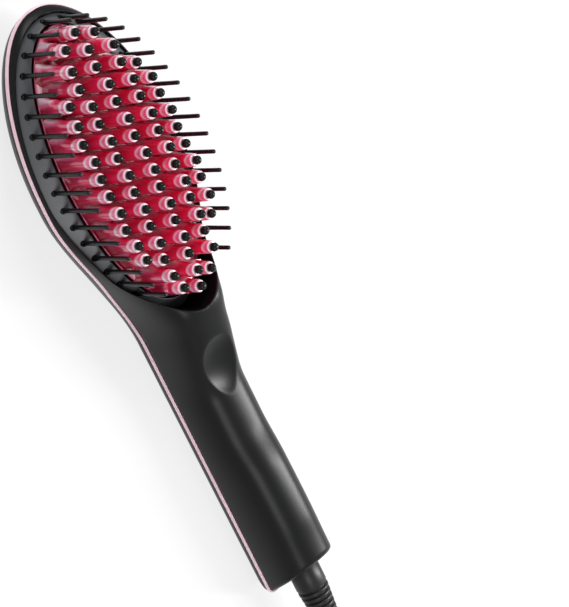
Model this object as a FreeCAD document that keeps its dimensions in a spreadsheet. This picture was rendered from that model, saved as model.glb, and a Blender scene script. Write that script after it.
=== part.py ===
import FreeCAD, Part
import math
import os
import types
from Sketcher import Constraint

# Heated hair straightening brush, millimetres.
# It lies on its back: +Z is the way the teeth point, +Y runs from the cord end to the head's tip,
# and the origin is on the table under the middle of the two shells.

os.makedirs("parts", exist_ok=True)
doc = FreeCAD.newDocument("heated_brush")
Vec = FreeCAD.Vector

# ---------------------------------------------------------------- driving dimensions

SIZES = {
    # outer form of the two shells
    "body_length": 284.0,
    "head_width": 74.0,
    "head_reach": 74.0,            # from the widest line to the head's tip
    "shoulder_start": 4.0,         # from the widest line down to where the head narrows
    "shoulder_length": 76.0,       # over which the head narrows to the handle
    "handle_width": 31.6,
    "head_parting": 24.0,          # height of the seam round the head
    "handle_parting": 9.5,         # height of the seam along the handle
    "parting_drop_start": 16.0,    # from the widest line down to where the seam starts to drop
    "parting_drop_length": 60.0,
    "head_crown": 36.0,            # height of the front surface over the head, before the opening
    "neck_crown": 45.0,            # height of the hump behind the brush field
    "grip_crown": 31.9,            # height of the handle where the fingers close
    "palm_crown": 34.9,            # height of the handle in the palm
    "end_slope": 0.4,              # the cord end leans forward by this much per unit of height
    "heel_radius": 6.5,
    "heel_sink": 0.4,              # the heel's arc meets the back and the end at a slight angle
    "wall": 2.6,
    # seam trim
    "trim_height": 2.4,
    "trim_depth": 1.4,
    "trim_proud": 0.25,
    "lip_gap": 0.2,
    # opening in the front shell and the frame in it
    "opening_width": 70.0,
    "opening_reach": 69.3,         # from the widest line to the opening's tip end
    "opening_tail": 67.5,          # from the widest line to the opening's handle end
    "tail_pull_along": 0.405,      # the tail end's curve is a little more pointed than an ellipse
    "tail_pull_across": 0.45,
    "collar_wall": 1.6,
    "ledge_width": 2.4,
    "ledge_bottom": 25.4,
    "ledge_top": 27.0,
    "frame_top": 30.2,
    "frame_gap": 0.3,
    "frame_slope": 2.2,
    # nylon bristles
    "bristle_ring_width": 62.6,
    "bristle_ring_length": 131.2,
    "bristle_pitch": 8.33,
    "bristle_radius": 0.9,
    "bristle_tip": 55.0,
    "bristle_dome": 0.0013,
    "bristle_seat": 2.0,
    "bristle_fit": 0.05,
    # heated plate and its teeth
    "head_offset": 2.0,            # the plate's middle is this far tipwards of the widest line
    "plate_width": 53.0,
    "plate_length": 126.8,
    "plate_top": 31.0,
    "plate_bottom": 25.0,
    "plate_gap": 0.5,
    "flange_width": 0.9,
    "flange_top": 26.7,
    "tooth_pitch": 8.0,
    "inner_column": 11.6,
    "outer_column": 21.6,
    "field_width": 47.0,
    "field_length": 119.0,
    "tooth_base_radius": 3.3,
    "tooth_top_radius": 2.55,
    "tooth_level": 55.0,           # height of the ball centres of the low teeth at the field's middle
    "tooth_step": 2.23,            # how much higher every other diagonal stands
    "dome_across": 0.00655,
    "dome_along": 0.0018,
    "ball_radius": 1.95,
    "ball_sink": 1.2,
    # heaters under the plate
    "heater_width": 12.0,
    "heater_length": 90.0,
    "heater_thickness": 2.5,
    "heater_offset": 8.5,
    "mica_width": 31.2,
    "mica_length": 96.0,
    "mica_thickness": 0.5,
    "clamp_width": 44.0,
    "clamp_length": 84.0,
    "clamp_thickness": 1.0,
    "post_radius": 2.6,
    "post_across": 18.5,
    "post_along": 32.0,
    "screw_radius": 1.4,
    "screw_head_radius": 2.6,
    "screw_head_height": 1.8,
    "screw_reach": 3.6,
    "hole_gap": 0.1,
    "prop_radius": 3.5,
    "prop_along": 34.0,
    "seat_gap": 0.3,
    "bead_radius": 1.5,
    "bead_length": 7.0,
    "fuse_radius": 2.0,
    "fuse_length": 12.0,
    # control panel in the handle's back
    "panel_width": 24.6,
    "panel_length": 80.0,
    "panel_centre": -59.0,
    "panel_depth": 1.3,
    "panel_gap": 0.15,
    "panel_end_radius": 15.5,
    "screen_width": 17.8,
    "screen_length": 14.0,
    "screen_centre": -32.0,
    "lens_gap": 0.2,
    "lens_face": 0.9,
    "module_width": 20.0,
    "module_length": 18.0,
    "module_face": 4.3,
    "pocket_width": 15.3,
    "pocket_length": 30.6,
    "pocket_centre": -58.6,
    "bar_width": 2.0,
    "key_gap": 0.45,
    "key_face": 0.55,
    "key_bevel": 0.4,
    "key_flange": 0.9,
    "power_radius": 7.3,
    "power_centre": -85.0,
    "key_travel": 0.6,
    "key_clear": 0.2,              # left between a pressed key and its switch
    # circuit board and switches
    "board_width": 23.0,
    "board_length": 99.0,
    "board_centre": -60.5,
    "board_bottom": 8.0,
    "board_thickness": 1.6,
    "switch_side": 6.0,
    "switch_height": 2.4,
    "plunger_radius": 1.7,
    "plunger_height": 0.8,
    "board_post_radius": 3.0,
    "board_screw_span": 45.0,
    # cord end
    "relief_height": 18.0,
    "relief_radius": 7.3,
    "relief_sleeve": 9.0,
    "relief_flange_radius": 9.2,
    "relief_flange_length": 2.0,
    "relief_gap": 0.25,
    "rib_pitch": 2.75,
    "rib_count": 10,
    "rib_groove": 1.0,
    "rib_flank": 0.2,
    "rib_depth": 1.1,
    "relief_tip_radius": 4.7,
    "cord_radius": 3.1,
    "coil_turn_radius": 37.0,
    "coil_columns": 4,
    "coil_layers": 2,
    "coil_across": -20.0,
    "coil_along": -276.0,
    "tie_width": 9.0,
    "tie_thickness": 0.9,
    "plug_width": 25.0,
    "plug_length": 34.0,
    "plug_height": 17.0,
    "plug_rounding": 3.5,
    "plug_across": -60.0,
    "plug_front": -238.0,
    "plug_neck": 16.0,
    "plug_neck_start": 4.3,
    "plug_neck_end": 6.3,
    "pin_spacing": 12.7,
    "pin_width": 6.3,
    "pin_thickness": 1.5,
    "pin_length": 17.5,
}

sheet = doc.addObject("Spreadsheet::Sheet", "sizes")
for row, (alias, value) in enumerate(SIZES.items(), 1):
    sheet.set(f"A{row}", alias.replace("_", " "))
    sheet.set(f"B{row}", str(value))
    sheet.setAlias(f"B{row}", alias)
row = len(SIZES) + 1
sheet.set(f"A{row}", "head centre")
sheet.set(f"B{row}", "=body_length / 2 - head_reach + head_offset")
sheet.setAlias(f"B{row}", "head_centre")
doc.recompute()
s = types.SimpleNamespace(**{alias: float(sheet.get(alias)) for alias in [*SIZES, "head_centre"]})

tip_y = s.body_length / 2
end_y = -s.body_length / 2
widest_y = tip_y - s.head_reach
FLATNESS = 1e-6                    # a panel less warped than this is one flat face
SLACK = 20.0                       # how far cutting solids run past what they cut

# ---------------------------------------------------------------- small helpers

nodes = []


def feature(label, shape):
    """A sub-part whose free form is set directly."""
    item = doc.addObject("Part::Feature", label)
    item.Label = label
    item.Shape = shape
    item.Placement = shape.Placement
    nodes.append(item)
    return item


def bind(item, **expressions):
    for name, expression in expressions.items():
        item.setExpression(name.replace("__", "."), expression)


def place(item, x="0", y="0", z="0"):
    bind(item, Placement__Base__x=x, Placement__Base__y=y, Placement__Base__z=z)


def primitive(kind, name, at, turn=None, **expressions):
    item = doc.addObject("Part::" + kind, name)
    item.Label = name
    if turn:
        item.Placement = FreeCAD.Placement(Vec(), turn)
    bind(item, **expressions)
    place(item, *at)
    return item


def fused(label, members):
    """Earlier objects fused into one sub-part; solids that don't touch stay separate in it."""
    item = doc.addObject("Part::MultiFuse", label)
    item.Label = label
    item.Shapes = members
    nodes.append(item)


def cut(label, base, tool):
    item = doc.addObject("Part::Cut", label)
    item.Label = label
    item.Base = base
    item.Tool = tool
    return item


def slab(label, width, length, thickness, at, holes=None):
    """A flat rectangular piece: one centred sketch, with mirrored round holes if any, and one pad."""
    body = doc.addObject("PartDesign::Body", label)
    body.Label = label
    sketch = body.newObject("Sketcher::SketchObject", label + "_outline")
    plane = next(item for item in body.Origin.OriginFeatures if item.Role == "XY_Plane")
    sketch.AttachmentSupport = [(plane, "")]
    sketch.MapMode = "FlatFace"
    corners = [Vec(-1, -1, 0), Vec(1, -1, 0), Vec(1, 1, 0), Vec(-1, 1, 0)]
    for start, end in zip(corners, corners[1:] + corners[:1]):
        sketch.addGeometry(Part.LineSegment(start, end), False)
    for side in range(4):
        sketch.addConstraint(Constraint("Coincident", side, 2, (side + 1) % 4, 1))
        sketch.addConstraint(Constraint("Vertical" if side % 2 else "Horizontal", side))
    sketch.addConstraint(Constraint("Symmetric", 0, 1, 2, 1, -1, 1))
    for name, kind, side in (("width", "DistanceX", 0), ("length", "DistanceY", 1)):
        index = sketch.addConstraint(Constraint(kind, side, 1, side, 2, 2.0))
        sketch.renameConstraint(index, name)
    bind(sketch, Constraints__width=width, Constraints__length=length)
    if holes:
        radius, across, along = holes
        signs = [(x, y) for x in ((-1, 1) if across else (0,)) for y in (-1, 1)]
        for number, (x, y) in enumerate(signs):
            circle = sketch.addGeometry(Part.Circle(Vec(x, y, 0), Vec(0, 0, 1), 0.2), False)
            bounds = {"radius": (Constraint("Radius", circle, 0.2), radius)}
            bounds["along"] = (Constraint("DistanceY", -1, 1, circle, 3, y), f"{y} * ({along})")
            if across:
                bounds["across"] = (Constraint("DistanceX", -1, 1, circle, 3, x), f"{x} * ({across})")
            else:
                sketch.addConstraint(Constraint("PointOnObject", circle, 3, -2))
            for name, (constraint, expression) in bounds.items():
                index = sketch.addConstraint(constraint)
                sketch.renameConstraint(index, f"{name}{number}")
                sketch.setExpression(f"Constraints.{name}{number}", expression)
    pad = body.newObject("PartDesign::Pad", label + "_pad")
    pad.Profile = sketch
    bind(pad, Length=thickness)
    body.Tip = pad
    place(body, *at)
    nodes.append(body)
    return body


def smooth(keys, at):
    """Height at one place of the smooth curve through the key points, level at both ends."""
    if at <= keys[0][0]:
        return keys[0][1]
    if at >= keys[-1][0]:
        return keys[-1][1]
    slopes = [0.0]
    for before, here, after in zip(keys, keys[1:], keys[2:]):
        rise_in = (here[1] - before[1]) / (here[0] - before[0])
        rise_out = (after[1] - here[1]) / (after[0] - here[0])
        same_way = rise_in * rise_out > 0
        slopes.append(2 * rise_in * rise_out / (rise_in + rise_out) if same_way else 0.0)
    slopes.append(0.0)
    i = max(k for k in range(len(keys) - 1) if keys[k][0] <= at)
    span = keys[i + 1][0] - keys[i][0]
    u = (at - keys[i][0]) / span
    ends = keys[i][1] * (1 + 2 * u) * (1 - u) ** 2 + keys[i + 1][1] * (3 - 2 * u) * u * u
    return ends + span * (slopes[i] * u * (1 - u) ** 2 - slopes[i + 1] * u * u * (1 - u))


# ---------------------------------------------------------------- outer form of the body

shoulder_y = widest_y - s.shoulder_start
drop_y = widest_y - s.parting_drop_start
drop_end_y = drop_y - s.parting_drop_length
neck_y = drop_end_y + 10

# Height of the front surface along the middle, and how square each half of the section is.
# Fullness 0.55 is an ellipse and 1 is a rectangle.
crown_keys = [
    (end_y, s.palm_crown - 0.7),
    (end_y + 30, s.palm_crown),
    (end_y + 58, s.palm_crown - 0.6),
    (neck_y - 64, s.grip_crown),
    (neck_y - 46, s.grip_crown + 0.1),
    (neck_y - 29, s.grip_crown + 3.9),
    (neck_y - 13, s.neck_crown - 3.8),
    (neck_y, s.neck_crown),
    (neck_y + 26, s.neck_crown - 3.5),
    (drop_y, s.head_crown),
]
front_fullness = [(end_y, 0.69), (neck_y - 46, 0.70), (neck_y - 17, 0.85), (neck_y + 26, 0.85),
                  (shoulder_y, 0.69)]
back_fullness = [(neck_y - 17, 0.88), (widest_y - 8, 0.60)]


SECTION_CHORDS = 8                 # chords in a quarter of the body's section
ELLIPSE_PULL = 0.5523              # pull of the control points that makes a quarter of an ellipse
OVAL_CHORDS = 12                   # chords in a quarter of the opening's and the plate's outlines


def parting_height(y):
    """Height of the seam: level, then two tangent arcs down to the handle, then level."""
    drop = s.head_parting - s.handle_parting
    length = drop_y - drop_end_y
    radius = (length ** 2 + drop ** 2) / (4 * drop)
    if y >= drop_y:
        return s.head_parting
    if y >= (drop_y + drop_end_y) / 2:
        return s.head_parting - radius + math.sqrt(radius ** 2 - (drop_y - y) ** 2)
    if y >= drop_end_y:
        return s.handle_parting + radius - math.sqrt(radius ** 2 - (y - drop_end_y) ** 2)
    return s.handle_parting


def outline(half_width, far_half, near_half, chords):
    """Closed row of (across, along) points from four cubic quarters, each drawn as chords.

    A half is its reach along, and how far its two inner control points pull along and across.
    """
    quarters = []
    for reach, pull_along, pull_across in (near_half, far_half):
        quarter = []
        for k in range(chords + 1):
            t = k / chords
            across = (1 - t) ** 3 + 3 * t * (1 - t) ** 2 + 3 * t * t * (1 - t) * pull_across
            along = 3 * t * (1 - t) ** 2 * pull_along + 3 * t * t * (1 - t) + t ** 3
            quarter.append((half_width * across, reach * along))
        quarters.append(quarter)
    near, far = quarters
    right = near[:0:-1] + far
    left = [(-across, along) for across, along in right[-2:0:-1]]
    return right + left + right[:1]


def body_section(y, inset):
    """Closed cross-section of the body at y, moved inwards by the inset."""
    taper = 1.0
    if y > widest_y:
        taper = math.sqrt(1 - ((y - widest_y) / (s.head_reach - inset)) ** 2)
    along = min(max((shoulder_y - y) / s.shoulder_length, 0.0), 1.0)
    share = 0.5 + 0.5 * math.cos(math.pi * along)
    half_width = (s.handle_width + (s.head_width - s.handle_width) * share) / 2 - inset
    half_width = half_width * taper
    seam = parting_height(y)
    rise = (smooth(crown_keys, y) - seam - inset) * taper
    depth = (seam - inset) * taper
    front_full = smooth(front_fullness, y)
    back_full = smooth(back_fullness, y)
    points = outline(half_width, (rise, front_full, front_full), (-depth, back_full, back_full),
                     SECTION_CHORDS)
    return Part.makePolygon([Vec(across, y, seam + along) for across, along in points])


def body_solid(inset):
    """The body's whole form, moved inwards by the inset, with its leaning end and rounded heel."""
    places = [end_y + inset, end_y + 14, end_y + 27, end_y + 40, end_y + 62]
    places += [neck_y - step for step in (64, 46, 34, 24, 14, 5)]
    places += [neck_y + 4, neck_y + 14, neck_y + 26, neck_y + 38, drop_y, widest_y]
    for angle in (18, 34, 48, 60, 70, 78, 84, 88):
        places.append(widest_y + (s.head_reach - inset) * math.sin(math.radians(angle)))
    solid = Part.makeLoft([body_section(y, inset) for y in places], True, False)
    lean = math.hypot(1, s.end_slope) * inset
    foot = s.handle_parting
    wedge = Part.makePolygon([
        Vec(-SLACK * 3, end_y + lean, foot),
        Vec(-SLACK * 3, end_y + lean + s.end_slope * 3 * SLACK, foot + 3 * SLACK),
        Vec(-SLACK * 3, end_y - SLACK, foot + 3 * SLACK),
        Vec(-SLACK * 3, end_y - SLACK, foot),
        Vec(-SLACK * 3, end_y + lean, foot),
    ])
    solid = solid.cut(Part.Face(wedge).extrude(Vec(SLACK * 6, 0, 0)))
    radius = s.heel_radius - inset
    axis = Vec(-SLACK * 3, end_y + inset + radius - s.heel_sink, inset + radius - s.heel_sink)
    heel = Part.makeBox(SLACK * 6, SLACK, SLACK, axis - Vec(0, SLACK, SLACK))
    return solid.cut(heel.cut(round_bar(radius, axis, SLACK * 6, Vec(1, 0, 0))))


def above_seam(offset):
    """Everything higher than the seam line plus the offset."""
    start = Vec(-SLACK * 3, tip_y + SLACK, s.head_parting + offset)
    corners = []
    for y in (drop_y, (3 * drop_y + drop_end_y) / 4, (drop_y + drop_end_y) / 2,
              (drop_y + 3 * drop_end_y) / 4, drop_end_y):
        corners.append(Vec(-SLACK * 3, y, parting_height(y) + offset))
    finish = Vec(-SLACK * 3, end_y - SLACK, s.handle_parting + offset)
    top = s.neck_crown + SLACK
    roof = [Vec(-SLACK * 3, finish.y, top), Vec(-SLACK * 3, start.y, top)]
    edges = [
        Part.LineSegment(start, corners[0]).toShape(),
        Part.Arc(corners[0], corners[1], corners[2]).toShape(),
        Part.Arc(corners[2], corners[3], corners[4]).toShape(),
        Part.LineSegment(corners[4], finish).toShape(),
        Part.LineSegment(finish, roof[0]).toShape(),
        Part.LineSegment(roof[0], roof[1]).toShape(),
        Part.LineSegment(roof[1], start).toShape(),
    ]
    return Part.Face(Part.Wire(edges)).extrude(Vec(SLACK * 6, 0, 0))


def opening_ring(inset, height):
    """The brush field's outline at this height, moved inwards by the inset."""
    tip_half = (s.opening_reach - inset, ELLIPSE_PULL, ELLIPSE_PULL)
    tail_half = (inset - s.opening_tail, s.tail_pull_along, s.tail_pull_across)
    points = outline(s.opening_width / 2 - inset, tip_half, tail_half, OVAL_CHORDS)
    return [Vec(across, widest_y + along, height) for across, along in points]


def opening_prism(inset, bottom, top):
    return Part.Face(Part.makePolygon(opening_ring(inset, bottom))).extrude(Vec(0, 0, top - bottom))


def plate_prism(grow, bottom, top):
    """The heated plate's outline, moved outwards, from bottom to top."""
    reach = s.plate_length / 2 + grow
    points = outline(s.plate_width / 2 + grow, (reach, ELLIPSE_PULL, ELLIPSE_PULL),
                     (-reach, ELLIPSE_PULL, ELLIPSE_PULL), OVAL_CHORDS)
    wire = Part.makePolygon([Vec(across, s.head_centre + along, bottom) for across, along in points])
    return Part.Face(wire).extrude(Vec(0, 0, top - bottom))


def round_bar(radius, start, length, direction=Vec(0, 0, 1)):
    return Part.makeCylinder(radius, length, start, direction)


def skin(rings):
    """Solid with flat faces through closed rings of points; a warped side panel is two triangles."""
    panels = [rings[0], rings[-1]]
    for low, high in zip(rings, rings[1:]):
        for a, b, c, d in zip(low, low[1:], high[1:], high):
            if abs((b - a).cross(d - a).dot(c - a)) < FLATNESS:
                panels.append([a, b, c, d, a])
            else:
                panels += [[a, b, c, a], [a, c, d, a]]
    shell = Part.Shell([Part.Face(Part.makePolygon(panel)) for panel in panels])
    shell.sewShape()
    solid = Part.Solid(shell)
    if solid.Volume < 0:
        solid.reverse()
    return solid


def spindle(profile, sides, foot, direction=Vec(0, 0, 1)):
    """Round piece with flat sides from (radius, height) corners, stood on the foot."""
    rings = [[Vec(radius * math.cos(math.tau * k / sides), radius * math.sin(math.tau * k / sides), height)
              for k in range(sides + 1)] for radius, height in profile]
    solid = skin(rings)
    solid.Placement = FreeCAD.Placement(foot, FreeCAD.Rotation(Vec(0, 0, 1), direction))
    return solid


# ---------------------------------------------------------------- shells and trim

outer = body_solid(0.0)
inner = body_solid(s.wall)
half_trim = s.trim_height / 2
hull = outer.cut(inner)
sky = s.neck_crown + SLACK

# A collar and a ledge line the opening and carry the frame.
collar = opening_prism(-s.collar_wall, s.ledge_bottom, sky).cut(opening_prism(0, s.ledge_bottom, sky))
ledge = opening_prism(-s.collar_wall, s.ledge_bottom, s.ledge_top)
ledge = ledge.cut(opening_prism(s.ledge_width, s.ledge_bottom, s.ledge_top))
mid_wall = body_solid(s.wall / 2)
lining = collar.fuse(ledge).common(mid_wall)

front = hull.cut(opening_prism(0, s.head_parting, sky)).common(above_seam(half_trim)).fuse(lining)

# The cord's strain relief sits in a bore through the leaning end wall.
relief_bore = round_bar(s.relief_radius + s.relief_gap, Vec(0, end_y - SLACK, s.relief_height),
                        2.5 * SLACK, Vec(0, 1, 0))
front = front.cut(relief_bore)

# A shallow thumb rest behind the hump.
thumb_radius = 30.0
thumb_depth = 1.5
thumb_y = neck_y - 43
thumb_rest = Part.makeSphere(thumb_radius, Vec(0, thumb_y, s.grip_crown + thumb_radius - thumb_depth))
front = front.cut(thumb_rest)
feature("front_shell", front.removeSplitter())

# The back shell has a lip behind the trim, posts for the board and the panel's recess.
above_trim = above_seam(half_trim)
below_trim = hull.cut(above_seam(-half_trim))
lip = body_solid(s.trim_depth + s.lip_gap).cut(inner)
lip = lip.common(above_seam(-half_trim - 0.5)).cut(above_seam(half_trim - s.lip_gap))
back = below_trim.fuse(lip)


def panel_prism(grow, bottom, top):
    """Outline of the control panel: straight sides and bowed ends."""
    half_width = s.panel_width / 2 + grow
    half_length = s.panel_length / 2 + grow
    bow = s.panel_end_radius - math.sqrt(s.panel_end_radius ** 2 - (s.panel_width / 2) ** 2)
    corner = half_length - bow
    middle = s.panel_centre
    a = Vec(half_width, middle + corner, bottom)
    b = Vec(-half_width, middle + corner, bottom)
    c = Vec(-half_width, middle - corner, bottom)
    d = Vec(half_width, middle - corner, bottom)
    edges = [
        Part.Arc(a, Vec(0, middle + half_length, bottom), b).toShape(),
        Part.LineSegment(b, c).toShape(),
        Part.Arc(c, Vec(0, middle - half_length, bottom), d).toShape(),
        Part.LineSegment(d, a).toShape(),
    ]
    return Part.Face(Part.Wire(edges)).extrude(Vec(0, 0, top - bottom))


def key_prism(side, grow, bottom, top):
    """Half of a stadium on one side of the bar between the two temperature keys."""
    radius = s.pocket_width / 2 + grow
    reach = s.pocket_length / 2 + grow - radius
    inner_edge = s.bar_width / 2 - grow
    y0 = s.pocket_centre
    a = Vec(radius, y0 + side * inner_edge, bottom)
    b = Vec(radius, y0 + side * reach, bottom)
    c = Vec(-radius, y0 + side * reach, bottom)
    d = Vec(-radius, y0 + side * inner_edge, bottom)
    edges = [
        Part.LineSegment(a, b).toShape(),
        Part.Arc(b, Vec(0, y0 + side * (reach + radius), bottom), c).toShape(),
        Part.LineSegment(c, d).toShape(),
        Part.LineSegment(d, a).toShape(),
    ]
    return Part.Face(Part.Wire(edges)).extrude(Vec(0, 0, top - bottom))


def screen_box(grow, bottom, top):
    width = s.screen_width + 2 * grow
    length = s.screen_length + 2 * grow
    corner = Vec(-width / 2, s.screen_centre - length / 2, bottom)
    return Part.makeBox(width, length, top - bottom, corner)


through = s.board_bottom - 1
power_axis = Vec(0, s.power_centre, -SLACK)
key_holes = [key_prism(1, 0, -SLACK, through), key_prism(-1, 0, -SLACK, through),
             round_bar(s.power_radius, power_axis, SLACK + through), screen_box(0, -SLACK, through)]


def handle_core(inset):
    """The handle between the panel's ends, moved inwards by the inset; its back is constant there."""
    start = s.panel_centre - s.panel_length / 2 - 1
    return Part.Face(body_section(start, inset)).extrude(Vec(0, s.panel_length + 2, 0))


panel_room = panel_prism(s.panel_gap, -SLACK, s.handle_parting - 1)
back = back.cut(panel_room.cut(handle_core(s.panel_depth + s.panel_gap)))
post_ys = [s.board_centre + side * s.board_screw_span for side in (1, -1)]
for post_y in post_ys:
    back = back.fuse(round_bar(s.board_post_radius, Vec(0, post_y, 0), s.board_bottom).common(mid_wall))
for hole in key_holes:
    back = back.cut(hole)
for post_y in post_ys:
    bore_bottom = s.board_bottom - s.screw_reach
    back = back.cut(round_bar(s.screw_radius + s.hole_gap, Vec(0, post_y, bore_bottom), s.screw_reach))
clamp_bottom = s.plate_bottom - s.heater_thickness - s.mica_thickness - s.clamp_thickness
for side in (1, -1):
    prop_axis = Vec(0, s.head_centre + side * s.prop_along, 0)
    back = back.fuse(round_bar(s.prop_radius, prop_axis, clamp_bottom - s.seat_gap).common(mid_wall))
feature("back_shell", back.removeSplitter())

trim = body_solid(-s.trim_proud).cut(body_solid(s.trim_depth))
trim = trim.common(above_seam(-half_trim)).cut(above_trim)
feature("seam_trim", trim)

# ---------------------------------------------------------------- control panel and keys

plate_form = handle_core(0).cut(handle_core(s.panel_depth))
plate_form = plate_form.common(panel_prism(0, -SLACK, s.handle_parting - 1))
for hole in key_holes:
    plate_form = plate_form.cut(hole)
feature("control_panel", plate_form)

POWER_SIDES = 32
switch_face = s.board_bottom - s.switch_height - s.plunger_height
key_foot = switch_face - s.key_clear - s.key_travel


def temperature_key(side):
    """Half-stadium key: cap with a bevelled face, and a flange that holds it behind the wall."""
    cap = key_prism(side, -s.key_gap, s.key_face, key_foot)
    face_edges = [edge for edge in cap.Edges if edge.BoundBox.ZMax < s.key_face + 0.01]
    cap = cap.makeChamfer(s.key_bevel, face_edges)
    flange = key_prism(side, s.key_flange - s.key_gap, key_foot - s.key_flange, key_foot)
    return cap.fuse(flange).removeSplitter()


feature("plus_button", temperature_key(1))
feature("minus_button", temperature_key(-1))
power_side = s.power_radius - s.key_gap
feature("power_button", spindle([
    (power_side - s.key_bevel, s.key_face),
    (power_side, s.key_face + s.key_bevel),
    (power_side, key_foot - s.key_flange),
    (power_side + s.key_flange, key_foot - s.key_flange),
    (power_side + s.key_flange, key_foot),
], POWER_SIDES, Vec(0, s.power_centre, 0)))


# ---------------------------------------------------------------- frame and bristles

BRISTLE_PAIRS = 16
RING_STEPS = 40
BRISTLE_SIDES = 8


def bristle_places():
    """The top bristle and the pairs, evenly spaced round an ellipse from the head's tip."""
    across = s.bristle_ring_width / 2
    along = s.bristle_ring_length / 2
    places = [(0.0, along)]
    angle = 0.0
    for _ in range(BRISTLE_PAIRS):
        for _ in range(RING_STEPS):
            speed = math.hypot(across * math.cos(angle), along * math.sin(angle))
            angle += s.bristle_pitch / RING_STEPS / speed
        for side in (1, -1):
            places.append((side * across * math.sin(angle), along * math.cos(angle)))
    return places


socket_bottom = s.frame_top - s.bristle_seat
frame = skin([opening_ring(s.frame_gap, s.ledge_top),
              opening_ring(s.frame_gap, s.frame_top - s.frame_slope),
              opening_ring(s.frame_gap + s.frame_slope, s.frame_top)])
frame = frame.cut(plate_prism(s.plate_gap, s.ledge_top - 1, s.frame_top + 1))
sockets = []
bristles = []
for x, y in bristle_places():
    foot = Vec(x, s.head_centre + y, socket_bottom)
    hole = s.bristle_radius + s.bristle_fit
    sockets.append(spindle([(hole, 0), (hole, s.bristle_seat + 1)], BRISTLE_SIDES, foot))
    length = s.bristle_tip - s.bristle_dome * y * y - socket_bottom
    shaft = s.bristle_radius
    bristles.append(spindle([(shaft, 0), (shaft, length - shaft), (shaft / 2, length)], BRISTLE_SIDES, foot))
feature("bristle_frame", frame.cut(sockets).removeSplitter())
feature("bristles", Part.makeCompound(bristles))

# ---------------------------------------------------------------- heated plate and teeth

TOOTH_SIDES = 8
BALL_SIDES = 8
SCREW_SIDES = 16


def tooth_places():
    """Ball centres: five staggered columns, pulled in at their ends, on a shallow dome."""
    places = []
    for column, count in ((0, 16), (-1, 15), (1, 15), (-2, 10), (2, 10)):
        column_x = (0.0, s.inner_column, s.outer_column)[abs(column)]
        for number in range(count):
            row = number - (count - 1) / 2
            y = row * s.tooth_pitch
            edge = math.sqrt(max(1 - (2 * y / s.field_length) ** 2, 0)) * s.field_width / 2
            x = math.copysign(min(column_x, edge), column)
            high = (abs(row) + abs(column) / 2) % 2 == 0.5
            drop = s.dome_across * x * x + s.dome_along * y * y
            places.append(Vec(x, s.head_centre + y, s.tooth_level + s.tooth_step * high - drop))
    return places


plate = plate_prism(0, s.plate_bottom, s.plate_top)
plate = plate.fuse(plate_prism(s.flange_width, s.plate_bottom, s.flange_top))
teeth = []
balls = []
radius = s.ball_radius
ball_profile = [(math.sqrt(radius ** 2 - s.ball_sink ** 2), -s.ball_sink), (radius, 0),
                (radius * math.sqrt(0.5), radius * math.sqrt(0.5)), (radius / 4, radius)]
for ball in tooth_places():
    foot = Vec(ball.x, ball.y, s.flange_top)
    height = ball.z - s.ball_sink - foot.z
    teeth.append(spindle([(s.tooth_base_radius, 0), (s.tooth_top_radius, height)], TOOTH_SIDES, foot))
    balls.append(spindle(ball_profile, BALL_SIDES, ball))
plate = plate.fuse(teeth)

clamp_top = clamp_bottom + s.clamp_thickness
screws = []
for side_x in (1, -1):
    for side_y in (1, -1):
        axis = Vec(side_x * s.post_across, s.head_centre + side_y * s.post_along, clamp_top)
        plate = plate.fuse(round_bar(s.post_radius, axis, s.plate_bottom - clamp_top + 1))
        plate = plate.cut(round_bar(s.screw_radius + s.hole_gap, axis, s.screw_reach))
        screws.append(spindle([
            (s.screw_head_radius, 0),
            (s.screw_head_radius, s.screw_head_height),
            (s.screw_radius, s.screw_head_height),
            (s.screw_radius, s.screw_head_height + s.screw_reach),
        ], SCREW_SIDES, axis - Vec(0, 0, s.clamp_thickness + s.screw_head_height)))
feature("heat_plate", plate.removeSplitter())
feature("tooth_tips", Part.makeCompound(balls))
feature("clamp_screws", Part.makeCompound(screws))

# Two ceramic heaters lie against the plate, then a mica sheet and a steel clamp.
heater_y = "sizes.head_centre - sizes.heater_length / 2"
heater_z = "sizes.plate_bottom - sizes.heater_thickness"
for label, middle in (("heater_left", "-sizes.heater_offset"), ("heater_right", "sizes.heater_offset")):
    nodes.append(primitive(
        "Box", label, (middle + " - sizes.heater_width / 2", heater_y, heater_z),
        Width="sizes.heater_length", Length="sizes.heater_width", Height="sizes.heater_thickness"))
mica_z = heater_z + " - sizes.mica_thickness"
clamp_z = mica_z + " - sizes.clamp_thickness"
slab("mica_sheet", "sizes.mica_width", "sizes.mica_length", "sizes.mica_thickness",
     ("0", "sizes.head_centre", mica_z))
slab("heater_clamp", "sizes.clamp_width", "sizes.clamp_length", "sizes.clamp_thickness",
     ("0", "sizes.head_centre", clamp_z),
     ("sizes.screw_radius + sizes.hole_gap", "sizes.post_across", "sizes.post_along"))
along_y = FreeCAD.Rotation(Vec(0, 0, 1), Vec(0, 1, 0))
for label, radius, length, x in (
        ("thermistor", "sizes.bead_radius", "sizes.bead_length", "sizes.heater_offset"),
        ("thermal_fuse", "sizes.fuse_radius", "sizes.fuse_length", "-sizes.heater_offset")):
    nodes.append(primitive(
        "Cylinder", label, (x, f"sizes.head_centre - {length} / 2", f"{clamp_z} - {radius}"),
        along_y, Radius=radius, Height=length))

# ---------------------------------------------------------------- display, board and switches

slab("display_lens", "sizes.screen_width - 2 * sizes.lens_gap",
     "sizes.screen_length - 2 * sizes.lens_gap",
     "sizes.module_face - sizes.seat_gap - sizes.lens_face",
     ("0", "sizes.screen_centre", "sizes.lens_face"))
slab("display_module", "sizes.module_width", "sizes.module_length",
     "sizes.board_bottom - sizes.module_face",
     ("0", "sizes.screen_centre", "sizes.module_face"))
slab("circuit_board", "sizes.board_width", "sizes.board_length", "sizes.board_thickness",
     ("0", "sizes.board_centre", "sizes.board_bottom"),
     ("sizes.screw_radius + sizes.hole_gap", None, "sizes.board_screw_span"))

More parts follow.
